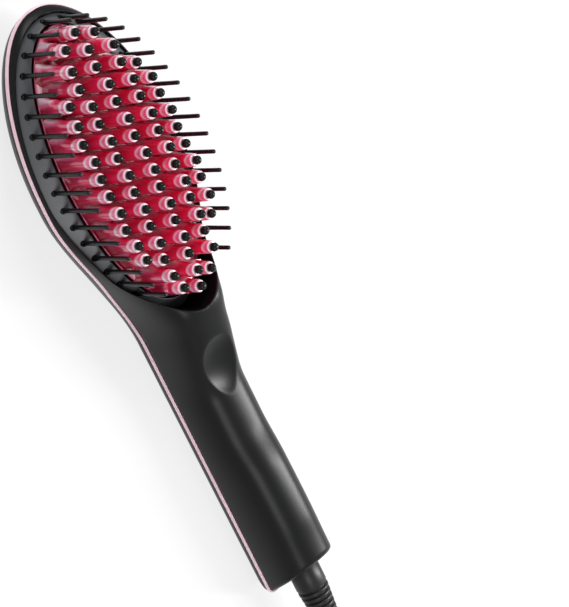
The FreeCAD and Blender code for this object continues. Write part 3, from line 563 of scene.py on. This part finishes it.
def field_half_width(y, inset=0.0):
    """Half-width of the brush field's opening at y: a cubic quarter for each end, solved for y."""
    tip = np.clip((y - WIDEST) / (FIELD_TO_TIP - inset), 0, 1)
    tail = np.clip((WIDEST - y) / (FIELD_TO_TAIL - inset), 0, 1)
    t_tip = solve(lambda t: rise_of(t, ROUND_PULL), tip, np.shape(y))
    t_tail = solve(lambda t: rise_of(t, TAIL_RISE_PULL), tail, np.shape(y))
    across = np.where(y >= WIDEST, bend(t_tip, ROUND_PULL), bend(t_tail, TAIL_PULL))
    return np.where((tip >= 1) | (tail >= 1), 0.0, (FIELD_HALF - inset) * across)


def panel_half_width(y, inset=0.0):
    """Half-width of the control panel's recess at y: straight sides, and ends bowed to an arc."""
    half, reach = 12.45 - inset, 40.15 - inset
    from_end = reach - np.abs(y - PANEL_MIDDLE)
    bowed = np.sqrt(PANEL_ARC ** 2 - (PANEL_ARC - np.clip(from_end, 0, PANEL_ARC)) ** 2)
    return np.where(from_end <= 0, 0.0, np.minimum(half, bowed))


def spread(start, stop, count, dense_end):
    """Places from start to stop, closer together at the end that is named."""
    angle = np.pi * np.linspace(0, 1, count) / 2
    share = 1 - np.cos(angle) if dense_end == "start" else np.sin(angle)
    return start + (stop - start) * share


def arc_loss(away, radius):
    """How much a rounding of this radius takes off at a distance from the end."""
    left = np.clip(radius - away, 0, radius)
    return radius - np.sqrt(np.clip(radius ** 2 - left ** 2, 0, None))


def soft_min(a, b, blend):
    """The smaller of two heights with a rounded crease."""
    share = np.clip(0.5 + 0.5 * (b - a) / blend, 0, 1)
    return b + (a - b) * share - blend * share * (1 - share)


def shell_sheet(upper, y, half_width_at, rounding, floor_z, ledge=0.0):
    """Outer face of one shell as rows of its section from the seam's edge to the window or the middle.

    The section's cubic quarter runs from the seam edge to where it meets the window, which is grown
    by the rounding; four more columns round the window's rim, drop to its floor and run in by the
    ledge's width. Near the cord end the rows lean with the end wall, and shrink by the arcs of the
    corner and the heel.
    """
    away = y - END
    width, seam, rise, full = section(y, upper)
    width = width - arc_loss(away, CORNER)
    rise = rise - arc_loss(away, CORNER) if upper else rise + arc_loss(away, HEEL)
    t_edge = solve(lambda t: bend(1 - t, full), TRIM_HALF / np.maximum(np.abs(rise), TRIM_HALF), y.shape)
    grown, half = half_width_at(y, -rounding), half_width_at(y)
    ratio = np.clip(grown / np.maximum(width, 1e-6), 0, 1)
    t_window = solve(lambda t: 1 - bend(t, full), 1 - ratio, y.shape)
    t_window = np.maximum(np.where(grown > 0, t_window, 1.0), t_edge)
    t = t_edge[:, None] + (t_window - t_edge)[:, None] * np.linspace(0, 1, SIDE_COLUMNS)
    x = width[:, None] * bend(t, full[:, None])
    z = seam[:, None] + rise[:, None] * bend(1 - t, full[:, None])
    inner_rows = y[half > 0]
    past = np.clip(np.maximum(inner_rows.min() - y, y - inner_rows.max()) / rounding, 0, 1)
    drop = np.where(grown > 0, (1 - past) * rounding, 0.0) * (-1 if upper else 1)
    edge = z[:, -1]
    rim_x = [half + 0.3 * (grown - half), half, half, np.minimum(half, half_width_at(y, ledge))]
    low = np.where(half > 0, floor_z(edge), edge + drop)
    rim_z = [edge + 0.3 * drop, edge + drop, low, low]
    x, z = np.c_[x, np.stack(rim_x, 1)], np.c_[z, np.stack(rim_z, 1)]
    if upper:
        from_axis = x ** 2 + (y[:, None] - THUMB_Y) ** 2
        dent = THUMB_Z - np.sqrt(np.clip(THUMB_RADIUS ** 2 - from_axis, 0, None))
        z = np.where(dent < THUMB_Z - 1.0, soft_min(dent, z, 0.3), z)
    fade = 1 - smooth(((6.0, 0.0), (40.0, 1.0)), away)[:, None]
    lean = END_SLOPE * np.maximum(z - HANDLE_SEAM, 0) * fade
    return np.stack([x, y[:, None] + lean, z], -1)


def end_wall(row, steps, goal_at):
    """Slanted end wall: straight spokes from the section's arch, seam edge to seam edge, to its goal."""
    arch = np.concatenate([row[:SIDE_COLUMNS], row[SIDE_COLUMNS - 2::-1] * [-1, 1, 1]])[:, [0, 2]]
    share = np.linspace(0, 1, steps)[:, None, None]
    x, z = np.moveaxis(arch * (1 - share) + goal_at(arch) * share, -1, 0)
    return np.stack([x, END + END_SLOPE * np.maximum(z - HANDLE_SEAM, 0), z], -1)


def bore_goal(arch):
    """The bore for the strain relief, with a point for each of the arch's."""
    return arc((0, RELIEF_HEIGHT), BORE_RADIUS, -80, 260, len(arch))


def seam_goal(arch):
    """The lower edge of the trim's groove, straight above the arch's points."""
    return np.c_[arch[:, 0], np.full(len(arch), HANDLE_SEAM - TRIM_HALF)]


def shell(name, sheet, cap, thickness, node):
    """Half of the body: a sheet, its mirror image and the cord end's cap, with a thickness."""
    forms = joined([grid(sheet), grid(sheet * [-1, 1, 1]), grid(cap)])
    wall(piece(name, *forms, soft_black, replaced=[node], inside=(0, 60, 24)), thickness)


end_rows = END + np.array([0, 0.08, 0.25, 0.5, 0.85, 1.3, 2.0, 2.8, 3.8, 5.0, 6.5])
FIELD_TIP, FIELD_TAIL = WIDEST + (FIELD_TO_TIP + WINDOW_GAP), WIDEST - (FIELD_TO_TAIL + WINDOW_GAP)
front_rows = np.concatenate([
    end_rows, np.arange(END + 9, -58, 2.5), np.arange(-57, -14, 0.8), np.arange(-13.4, FIELD_TAIL - 0.8, 0.8),
    FIELD_TAIL - np.array([0.6, 0.48, 0.3, 0.14]), spread(FIELD_TAIL, WIDEST, 70, "start"),
    spread(WIDEST, FIELD_TIP, 60, "stop")[1:], FIELD_TIP + np.array([0.14, 0.3, 0.48, 0.6]),
    spread(FIELD_TIP + 0.75, 141.63, 14, "stop")])
front = shell_sheet(True, front_rows, lambda y, inset=0.0: field_half_width(y, inset - WINDOW_GAP), 0.6,
                    lambda edge: np.full(edge.shape, WINDOW_FLOOR))
shell("front_cover", front, end_wall(front[0], 7, bore_goal), 0.5, "front_shell")

back_rows = np.concatenate([
    end_rows, np.arange(END + 8.5, -100.4, 2.0), [-99.45, -99.35, -99.25], spread(-99.15, -90.0, 22, "start"),
    np.arange(-88, -29, 2.5), spread(-28.0, -18.85, 22, "stop"), [-18.75, -18.65, -18.55],
    np.arange(-17.0, 60, 2.2), spread(62.0, 141.907, 66, "stop")])
back = shell_sheet(False, back_rows, panel_half_width, 0.3, lambda edge: edge + RECESS_DEPTH, ledge=2.0)
shell("back_cover", back, end_wall(back[0], 4, seam_goal), 1.5, "back_shell")


def seam_path():
    """Closed line round the seam, anticlockwise from above: the end, the sides and the head's tip."""
    side_y = np.concatenate([np.arange(END + CORNER + 1, WIDEST, 2.0),
                             WIDEST + HEAD_REACH * np.sin(np.radians(np.linspace(0, 90, 60)))])
    width = section(side_y, True)[0]
    handle = section(np.array([END]), True)[0][0]
    corner = arc((handle - CORNER, END + CORNER), CORNER, -90, 0, 9)
    right = np.concatenate([corner, np.stack([width, side_y], -1)])
    flat = np.concatenate([right, right[-2::-1] * [-1, 1]])
    return np.c_[flat, seam_height(flat[:, 1])]


def ribbon(path, profile):
    """Closed tube: the profile's (outward, upward) points set square to a closed path."""
    tangent = np.roll(path, -1, 0) - np.roll(path, 1, 0)
    tangent /= np.linalg.norm(tangent, axis=1, keepdims=True)
    outward = np.stack([tangent[:, 1], -tangent[:, 0], np.zeros(len(path))], -1)
    outward /= np.linalg.norm(outward, axis=1, keepdims=True)
    upward = np.cross(outward, tangent)
    points = path[:, None] + outward[:, None] * profile[:, :1] + upward[:, None] * profile[:, 1:]
    return grid(points, True, True)


strip = superellipse(0.85, 1.16, 5.0, evenly_round(24)) - [0.48, 0.0]
piece("pink_trim", *ribbon(seam_path(), strip), pink_lacquer(), replaced=["seam_trim"])

# ------ brush field

PLATE_HALF_X, PLATE_HALF_Y, PLATE_TOP = 26.5, 63.4, 31.0
PLATE_GAP = 0.9
TOOTH_SIDES, TOOTH_REACH, TOOTH_PITCH, TOOTH_RISE = 28, 24.0, 8.0, 2.23
# How much the domes of the balls and the rods fall with the square of the distance.
BALL_DOME_ACROSS, BALL_DOME_ALONG, ROD_DOME_ALONG = 0.00655, 0.0018, 0.0013

# The frame's section: share of the way in, and height.
FRAME_PROFILE = ((0, 24.9), (0, 25.9), (0.02, 26.15), (0.06, 26.4), (0.15, 26.9), (0.3, 27.75),
                 (0.45, 28.5), (0.6, 29.2), (0.75, 29.8), (0.86, 30.2), (0.93, 30.35), (0.97, 30.3),
                 (0.99, 30.15), (1, 29.9), (1, 28.0), (1, 25.2))


def field_outline(inset):
    """Closed outline of the brush field from two cubic quarters and their mirror images."""
    t = np.linspace(0, 1, 41)[:-1]
    tip = np.stack([bend(t, ROUND_PULL), rise_of(t, ROUND_PULL) * (FIELD_TO_TIP - inset)], -1)
    tail = np.stack([bend(1 - t, TAIL_PULL), -rise_of(1 - t, TAIL_RISE_PULL) * (FIELD_TO_TAIL - inset)], -1)
    half = np.concatenate([tail, tip]) * [FIELD_HALF - inset, 1] + [0, WIDEST]
    top = np.array([[0.0, WIDEST + FIELD_TO_TIP - inset]])
    return np.concatenate([half, top, half[:0:-1] * [-1, 1]])


def frame_ring():
    """Band round the plate: straight lines from the field's outline in to an ellipse, and a height
    profile across them that rises from the shell's rim, swells, and rounds over to the inner wall."""
    outer = field_outline(-FRAME_OVERLAP)
    half = [PLATE_HALF_X + PLATE_GAP, PLATE_HALF_Y + PLATE_GAP]
    across, along = ((outer - [0, FIELD_MIDDLE]) / half).T
    inner = circle(np.arctan2(along, across)) * half + [0, FIELD_MIDDLE]
    share, height = np.array(FRAME_PROFILE).T[..., None]
    flat = outer[:, None] * (1 - share) + inner[:, None] * share
    return grid(np.concatenate([flat, np.broadcast_to(height, (*flat.shape[:2], 1))], -1), True, True)


piece("bristle_frame_ring", *frame_ring(), frame_black, replaced=["bristle_frame"])


def rod_places():
    """Places round the ellipse through the rods, a pitch of arc apart each side of the head's tip."""
    half_x, half_y, pitch, steps = 31.3, 65.6, 8.33, 40
    angle, places = 0.0, [(0.0, half_y)]
    for _ in range(16):
        for _ in range(steps):
            angle += pitch / steps / np.hypot(half_x * np.cos(angle), half_y * np.sin(angle))
        places += [(half_x * np.sin(angle), half_y * np.cos(angle)),
                   (-half_x * np.sin(angle), half_y * np.cos(angle))]
    return np.array(places)


def stretched(profile, sides, places, tops, foot):
    """Copies of a revolved profile whose heights below 0 count down from each top and above 100 up
    from the foot, as points and faces with end caps."""
    shape = revolve(profile, sides)
    from_foot = shape[..., 2] > 50
    forms = []
    for place, top in zip(places, tops):
        rings = shape.copy()
        rings[..., 2] = np.where(from_foot, shape[..., 2] - 100 + foot, shape[..., 2] + top)
        rings[..., :2] += place
        forms.append(tube(rings))
    return joined(forms)


rods = rod_places()
rod_tops = 55.0 - ROD_DOME_ALONG * rods[:, 1] ** 2
rod_profile = [(1.55, 98.6), (1.55, 100.0), (1.45, 100.25), (1.25, 100.55), (1.12, 100.9),
               (1.05, 101.6), (1.02, 104.0), (0.96, -6.0), (0.95, -0.80), (0.88, -0.46), (0.70, -0.2),
               (0.44, -0.05), (0.12, 0)]
piece("bristle_rods", *stretched(rod_profile, 16, rods + [0, FIELD_MIDDLE], rod_tops, 28.4),
      rod_black, replaced=["bristles"])


def tooth_places():
    """Five staggered columns of teeth and the heights of their balls."""
    places, heights = [], []
    for column, count in ((0.0, 16), (11.6, 15), (-11.6, 15), (21.6, 10), (-21.6, 10)):
        for number in range(count):
            row = number - (count - 1) / 2
            y = TOOTH_PITCH * row
            x = np.sign(column) * min(abs(column), np.sqrt(max(1 - (2 * y / 119.0) ** 2, 0)) * 23.5)
            high = (abs(row) + (abs(column) > 5) * 0.5 + (abs(column) > 15) * 0.5) % 2 == 0.5
            places.append((x, y + FIELD_MIDDLE))
            heights.append(55.0 + TOOTH_RISE * high - BALL_DOME_ACROSS * x * x - BALL_DOME_ALONG * y * y)
    return np.array(places), np.array(heights)


teeth, ball_heights = tooth_places()


def plate_slab():
    """Elliptical slab: rings that shrink to the middle, with a rounded edge and a flange hidden below."""
    profile = np.array([(-0.2, 25.2), (0.0, 25.6), (0.0, 29.7), (0.12, 30.3), (0.42, 30.74), (0.9, 30.95),
                        (1.5, 31.0), (8.0, 31.0), (16.0, 31.0), (23.0, 31.0), (26.2, 31.0)])
    inset, height = profile.T
    half = [PLATE_HALF_X, PLATE_HALF_Y] - inset[:, None, None]
    return tube(lifted(circle(evenly_round(120)) * half + [0, FIELD_MIDDLE], height))


tooth_profile = [(6.0, 99.7), (5.5, 100.15), (4.95, 100.7), (4.5, 101.5), (4.12, 102.7), (3.84, 104.3),
                 (3.62, 106.4), (3.46, 109.0), (3.20, -9.0), (3.08, -6.5), (3.01, -4.7), (2.98, -4.0),
                 (2.94, -3.3), (2.90, -2.6), (2.86, -2.0), (2.82, -1.5), (2.77, -1.0), (2.68, -0.55),
                 (2.50, -0.20), (2.28, -0.04), (2.05, 0.0), (1.80, -0.04), (1.60, -0.20), (1.30, -0.45)]


def tooth_shading(profile):
    """Two values for each point round a tooth, both painted light. The first runs from 0 at the foot to 1
    near the top and is lower on the side that faces the cord end, for painted shade. The second, the painted
    highlight, is 1 in the valley towards the head's tip and on the shoulder, from which a wedge of it runs
    down the left side."""
    valley_way, wedge_way, shoulder, soft = 1.75, 2.85, 4.6, 0.9
    height = np.array(profile)[:, 1:]
    angle = evenly_round(TOOTH_SIDES)
    up = np.where(height > 50, height - 100, TOOTH_REACH + height)
    down = TOOTH_REACH - up
    # Painted shade: lower on the side facing the cord end, so that side is painted deep red.
    climb_shade = np.clip(up / TOOTH_REACH, 0, 1) - 0.35 * np.clip(-np.sin(angle), 0, 1)
    # Painted highlight in the valley towards the head's tip.
    valley_highlight = np.clip(np.cos(angle - valley_way), 0, 1) ** 6 * np.clip(1.4 - up / 14, 0, 1)
    # Painted highlight: a wedge down the left side from the shoulder, with a bright edge, and a pale ring at
    # the top.
    away = np.abs((angle - wedge_way + np.pi) % (2 * np.pi) - np.pi)
    half = np.pi * 1.2 * np.clip(1 - down / shoulder, 0, 1) ** 1.5
    inside = np.clip((half - away) / soft + 0.5, 0, 1)
    rim = np.exp(-((half - away) / soft) ** 2)
    wedge_highlight = (0.5 * inside + 0.6 * rim) * (down < shoulder) + (down < 0.4)
    return climb_shade, np.maximum(valley_highlight, np.clip(wedge_highlight, 0, 1))


slab_points, slab_faces = plate_slab()
tooth_points, tooth_faces = stretched(tooth_profile, TOOTH_SIDES, teeth, ball_heights - 1.2, PLATE_TOP)
# Feet that would overhang the plate's edge are pulled in to an ellipse just inside it.
from_middle = tooth_points[:, :2] - [0, FIELD_MIDDLE]
beyond = np.maximum(np.hypot(*(from_middle / [PLATE_HALF_X - 0.45, PLATE_HALF_Y - 0.45]).T), 1)
tooth_points[:, :2] = [0, FIELD_MIDDLE] + from_middle / beyond[:, None]
heated = piece("heated_plate", *joined([(slab_points, slab_faces), (tooth_points, tooth_faces)]),
               coated_crimson(), replaced=["heat_plate"], weld=None)
# Painted light on the slab: an even mid shade, and a painted pale pink highlight and reflection over its
# floor that fades to little at the rounded rim.
inward = 1 - np.hypot(*((slab_points[:, :2] - [0, FIELD_MIDDLE]) / [PLATE_HALF_X, PLATE_HALF_Y]).T)
on_slab = (np.full(len(slab_points), 0.2), np.clip(25 * inward, 0.2, 0.9))
for attribute, slab_value, tooth_value in zip(("climb_shade", "painted_sheen"), on_slab, tooth_shading(tooth_profile)):
    heated.data.attributes.new(attribute, "FLOAT", "POINT").data.foreach_set(
        "value", np.r_[slab_value, np.tile(tooth_value.ravel(), len(teeth))])

ball = revolve(arc((0, 0), 1.95, -90, 90, 15)[1:-1], 24)
balls = joined([tube(ball + place) for place in np.c_[teeth, ball_heights]])
piece("tooth_balls", *balls, ball_black, replaced=["tooth_tips"])

# ------ control panel, keys and display

POCKET_MIDDLE, POWER_Y, SCREEN_Y = -58.6, -85.0, -32.0
POWER_RADIUS = 7.3
KEY_GAP, KEY_FACE, KEY_FOOT = 0.45, 0.55, 4.0


def back_surface(x, y):
    """Height of the back shell's outer face: its section solved for the distance across."""
    width, seam, rise, full = section(y, False)
    t = solve(lambda t: 1 - bend(t, full), 1 - np.clip(np.abs(x) / width, 0, 1), np.shape(x))
    return seam + rise * bend(1 - t, full)


def dense(loop, step):
    """Closed loop with extra points on its longer straight runs."""
    parts = []
    for a, b in zip(loop, np.roll(loop, -1, 0)):
        count = max(int(np.hypot(*(b - a)) / step), 1)
        parts.append(a + (b - a) * np.arange(count)[:, None] / count)
    return np.concatenate(parts)


def within(points, loop):
    """Which points a closed loop encloses: an odd number of its edges lie to the right of them."""
    a, b = loop, np.roll(loop, -1, 0)
    x, y = points[:, :1], points[:, 1:]
    spans = (a[:, 1] > y) != (b[:, 1] > y)
    rise = np.where(b[:, 1] == a[:, 1], 1.0, b[:, 1] - a[:, 1])
    crossing = a[:, 0] + (y - a[:, 1]) * (b[:, 0] - a[:, 0]) / rise
    return (spans & (x < crossing)).sum(1) % 2 == 1


def pierced_sheet(outline, holes, spacing, height):
    """Sheet on the surface z = height(x, y) inside an outline and outside the holes: a lattice and the
    loops' points, joined by constrained triangles."""
    loops = [dense(loop, spacing * 0.6) for loop in [outline, *holes]]
    low, high = outline.min(0), outline.max(0)
    marks = (np.arange(*ends, spacing) for ends in zip(low, high))
    lattice = np.stack(np.meshgrid(*marks), -1).reshape(-1, 2)
    rim = np.concatenate(loops)
    clear = np.hypot(*(lattice[:, None] - rim[None]).transpose(2, 0, 1)).min(1) > spacing * 0.45
    lattice = lattice[clear & within(lattice, loops[0])]
    edges, start = [], 0
    for loop in loops:
        edges += [(start + k, start + (k + 1) % len(loop)) for k in range(len(loop))]
        start += len(loop)
    flat = np.concatenate([rim, lattice])
    made = delaunay_2d_cdt([Vector(point) for point in flat], edges, [], 0, 1e-5)
    points = np.array([point[:] for point in made[0]])
    faces = np.array(made[2])
    middle = points[faces].mean(1)
    kept = within(middle, loops[0])
    for loop in loops[1:]:
        kept &= ~within(middle, loop)
    return np.c_[points, height(points[:, 0], points[:, 1])], faces[kept].tolist()


def panel_outline():
    """Straight sides between two ends bowed to arcs."""
    half, reach = 12.3, 40.0
    lean = np.degrees(np.arcsin(half / PANEL_ARC))
    top = arc((0, PANEL_MIDDLE + reach - PANEL_ARC), PANEL_ARC, 90 - lean, 90 + lean, 33)
    return np.concatenate([top, top[::-1] * [1, -1] + [0, 2 * PANEL_MIDDLE]])


def key_outline(side, grow):
    """Half of a stadium on one side of the bar, moved out by grow, with small corners at the bar."""
    radius, reach, inner, corner = 7.65 + grow, 7.65, 1.0 - grow, 0.7
    half = np.concatenate([arc((radius - corner, inner + corner), corner, -90, 0, 6),
                           arc((0, reach), radius, 0, 180, 41),
                           arc((corner - radius, inner + corner), corner, 180, 270, 6),
                           np.stack([np.linspace(corner - radius, radius - corner, 12)[1:-1],
                                     np.full(10, inner)], -1)])
    return half * [1, side] + [0, POCKET_MIDDLE]


def rounded_box(half_x, half_y, corner, middle):
    """Rectangle with round corners, anticlockwise."""
    half = np.array([half_x, half_y]) - corner
    return np.concatenate([arc(middle + half * side, corner, start, start + 90, 7)
                           for side, start in (((1, -1), -90), ((1, 1), 0), ((-1, 1), 90), ((-1, -1), 180))])


panel_holes = [key_outline(1, 0), key_outline(-1, 0)[::-1], arc((0, POWER_Y), POWER_RADIUS, 0, 352.5, 48),
               rounded_box(8.9, 7.0, 0.5, (0, SCREEN_Y))]
panel = piece("control_plate", *pierced_sheet(panel_outline(), panel_holes, 1.3, back_surface),
              brushed_metal(), replaced=["control_panel"], inside=(0, PANEL_MIDDLE, 12), weld=None)
wall(panel, 1.3)
bevel(panel, 0.28, 3)


def stacked(loops, heights):
    """Closed form of equal loops at their heights, ended by flat faces."""
    return tube(lifted(np.stack(loops), heights))


# A key is a raised cap in a groove; the steps are how far in from its edge and how high.
KEY_STEPS = ((-0.9, KEY_FOOT), (-0.9, KEY_FOOT - 0.9), (0.0, KEY_FOOT - 0.9), (0.0, 1.45), (0.10, 1.22),
             (0.35, 1.10), (1.10, 1.06), (1.45, 1.12), (1.62, 1.10), (1.70, 0.90), (1.82, 0.72),
             (2.05, 0.60), (2.40, KEY_FACE), (3.20, KEY_FACE + 0.02), (4.40, KEY_FACE + 0.05))


for key, outline_at in (("plus", lambda grow: key_outline(1, grow)),
                        ("minus", lambda grow: key_outline(-1, grow)),
                        ("power", lambda grow: arc((0, POWER_Y), POWER_RADIUS + grow, 0, 354.375, 64))):
    cap = stacked([outline_at(-KEY_GAP - inset) for inset, _ in KEY_STEPS], [z for _, z in KEY_STEPS])
    piece(key + "_cap", *cap, key_black, body=key + "_key", replaced=[key + "_button"])


def raised(key, outlines):
    """Low embossed marks with rounded edges on a key's face."""
    marks = joined([stacked([outline, outline], [KEY_FACE - 0.16, KEY_FACE + 0.15]) for outline in outlines])
    bevel(piece(key + "_mark", *marks, symbol_grey, body=key + "_key", weld=None), 0.07, 2)


MARK_REACH, MARK_HALF, MARK_CORNER = 1.6, 0.32, 0.2
arm = np.array([(MARK_HALF, MARK_HALF), (MARK_REACH, MARK_HALF), (MARK_REACH, -MARK_HALF)])
cross = np.concatenate([arm, arm @ [[0, -1], [1, 0]], -arm, arm @ [[0, 1], [-1, 0]]])
raised("plus", [cross[::-1] + [0, POCKET_MIDDLE + 8.0]])
raised("minus", [rounded_box(MARK_REACH, MARK_HALF, MARK_CORNER, (0, POCKET_MIDDLE - 8.0))])
ring_mark = np.concatenate([arc((0, POWER_Y), 2.5, 122, 418, 40), arc((0, POWER_Y), 1.9, 418, 122, 40)])
raised("power", [ring_mark, rounded_box(0.3, 1.25, MARK_CORNER, (0, POWER_Y + 1.7))])

# Segments that are lit in each sign, in the order top, upper right, lower right, bottom, lower left,
# upper left, middle.
LIT = {"4": "0110011", "5": "1011011", "0": "1111110", "F": "1000111"}


def segment(start, stop, half):
    """Bar with pointed ends between two places."""
    way = (stop - start) / np.hypot(*(stop - start))
    side = np.array([-way[1], way[0]]) * half
    start, stop = start + way * half * 0.45, stop - way * half * 0.45
    return np.array([start, start + way * half + side, stop - way * half + side, stop,
                     stop - way * half - side, start + way * half - side])


def digits(text):
    """Slanted seven-segment signs, read from +X to -X with +Y upwards."""
    half, thick, pitch = [1.15, 2.5], 0.36, 3.75
    runs = (((-1, 1), (1, 1)), ((1, 1), (1, 0)), ((1, 0), (1, -1)), ((-1, -1), (1, -1)),
            ((-1, 0), (-1, -1)), ((-1, 1), (-1, 0)), ((-1, 0), (1, 0)))
    outlines = []
    for place, sign in enumerate(text):
        for lit, (a, b) in zip(LIT[sign], runs):
            if lit == "1":
                outline = segment(np.multiply(a, half), np.multiply(b, half), thick)
                outline[:, 0] += outline[:, 1] * 0.12 + (place - (len(text) - 1) / 2) * pitch
                outlines.append(outline * [-1, 1] + [0, SCREEN_Y])
    return outlines


signs = joined([stacked([outline, outline], [4.23, 4.29]) for outline in digits("450F")])
piece("display_digits", *signs, glowing_digits(), weld=None)

# ------ strain relief


def relief_profile():
    """Radius along the sleeve and the ten tapering ribs."""
    steps = [(7.0, -131.8), (7.3, -132.0), (7.3, -146.9), (7.2, -147.25), (6.95, -147.5)]
    for k in range(10):
        y, rib = -147.6 - 2.75 * k, 7.3 - 2.6 * (k + 0.5) / 10
        steps += [(rib - 1.1, y - 0.15), (rib - 1.1, y - 0.95), (rib - 0.2, y - 1.15), (rib, y - 1.35),
                  (rib, y - 2.45), (rib - 0.2, y - 2.65)]
    return steps + [(4.3, -175.05), (3.6, -175.1), (3.05, -174.9)]


sleeve = revolve(relief_profile(), 48)[..., [0, 2, 1]] + [0, 0, RELIEF_HEIGHT]
piece("cord_relief", *tube(sleeve), relief_black, replaced=["strain_relief"])

# ------ finishes of the carried-over parts


def dress(finish, *nodes):
    """Gives CAD nodes that stay as they are this finish."""
    for node in nodes:
        for slot in bpy.data.objects[node].material_slots:
            slot.material = finish.material


dress(clear_lens(), "display_lens")
dress(lit_display(), "display_module")
dress(board_lacquer(), "circuit_board")
dress(simple("switch_black", None, (0.02, 0.02, 0.022), 0.4), "plus_switch", "minus_switch", "power_switch")
dress(simple("screw_steel", None, (0.52, 0.52, 0.53), 0.28, 1.0, 700.0, (1.0, 8.0, 1.0)),
      "board_screws", "clamp_screws", "heater_clamp", "thermal_fuse")
dress(simple("pin_brass", None, (0.72, 0.62, 0.42), 0.25, 1.0, 500.0, (1.0, 6.0, 1.0)), "plug_pins")
dress(simple("heater_ceramic", None, (0.78, 0.76, 0.70), 0.6), "heater_left", "heater_right")
dress(simple("mica_amber", None, (0.30, 0.17, 0.07), 0.3, 0.0, 150.0), "mica_sheet")
dress(simple("bead_resin", None, (0.02, 0.03, 0.02), 0.2), "thermistor")

# ------ floor and light


def seen_white(tree, soft, share):
    """Mix of a soft shader with plain white for the rays that the camera, gloss and glass see."""

    def calculated(operation, first, second):
        made = tree.nodes.new("ShaderNodeMath")
        made.operation = operation
        tree.links.new(first, made.inputs[0])
        if isinstance(second, float):
            made.inputs[1].default_value = second
        else:
            tree.links.new(second, made.inputs[1])
        return made.outputs[0]

    rays = tree.nodes.new("ShaderNodeLightPath").outputs
    seen = rays["Is Camera Ray"]
    for ray in ("Is Glossy Ray", "Is Transmission Ray"):
        seen = calculated("MAXIMUM", seen, rays[ray])
    scaled = calculated("MULTIPLY", seen, share)
    white = tree.nodes.new("ShaderNodeEmission")
    white.inputs["Color"].default_value = (1, 1, 1, 1)
    mixed = tree.nodes.new("ShaderNodeMixShader")
    for socket, fed in zip(mixed.inputs, (scaled, soft, white.outputs[0])):
        tree.links.new(fed, socket)
    return mixed.outputs[0]


world = bpy.data.worlds.new("studio")
bpy.context.scene.world = world
world.use_nodes = True
tree = world.node_tree
tree.nodes.clear()
soft = tree.nodes.new("ShaderNodeBackground")
soft.inputs["Strength"].default_value = 0.3
out = tree.nodes.new("ShaderNodeOutputWorld")
tree.links.new(seen_white(tree, soft.outputs[0], 1.0), out.inputs[0])

floor_mesh = bpy.data.meshes.new("floor")
floor_mesh.from_pydata([(-6, -6, 0), (6, -6, 0), (6, 6, 0), (-6, 6, 0)], [], [(0, 1, 2, 3)])
floor = placed("floor", floor_mesh)
floor.location.z = -0.0004
paper = Finish("paper", Roughness=0.9)
paper.vary(Base_Color=paper.blend(paper.noise(3.0), (0.86, 0.86, 0.86), (0.88, 0.88, 0.88)))
tree = paper.material.node_tree
tree.links.new(seen_white(tree, paper.surface.outputs[0], 0.75),
               tree.nodes["Material Output"].inputs["Surface"])
floor_mesh.materials.append(paper.material)


def lamp(name, place, aim, width, length, power):
    """Soft rectangular lamp that points at the aim; millimetres and watts."""
    light = bpy.data.lights.new(name, "AREA")
    light.shape = "RECTANGLE"
    light.size, light.size_y = width * MM, length * MM
    light.energy = power
    facing = (Vector(place) - Vector(aim)).to_track_quat("Z", "Y").to_matrix().to_4x4()
    placed(name, light).matrix_world = Matrix.Translation(Vector(place) * MM) @ facing


lamp("key_strip", (880, -440, 800), (0, -20, 25), 160, 850, 21.0)
lamp("left_fill", (-640, -430, 1020), (0, 20, 25), 500, 500, 5.0)
lamp("back_fill", (250, 1000, 1000), (0, 20, 25), 600, 600, 8.0)
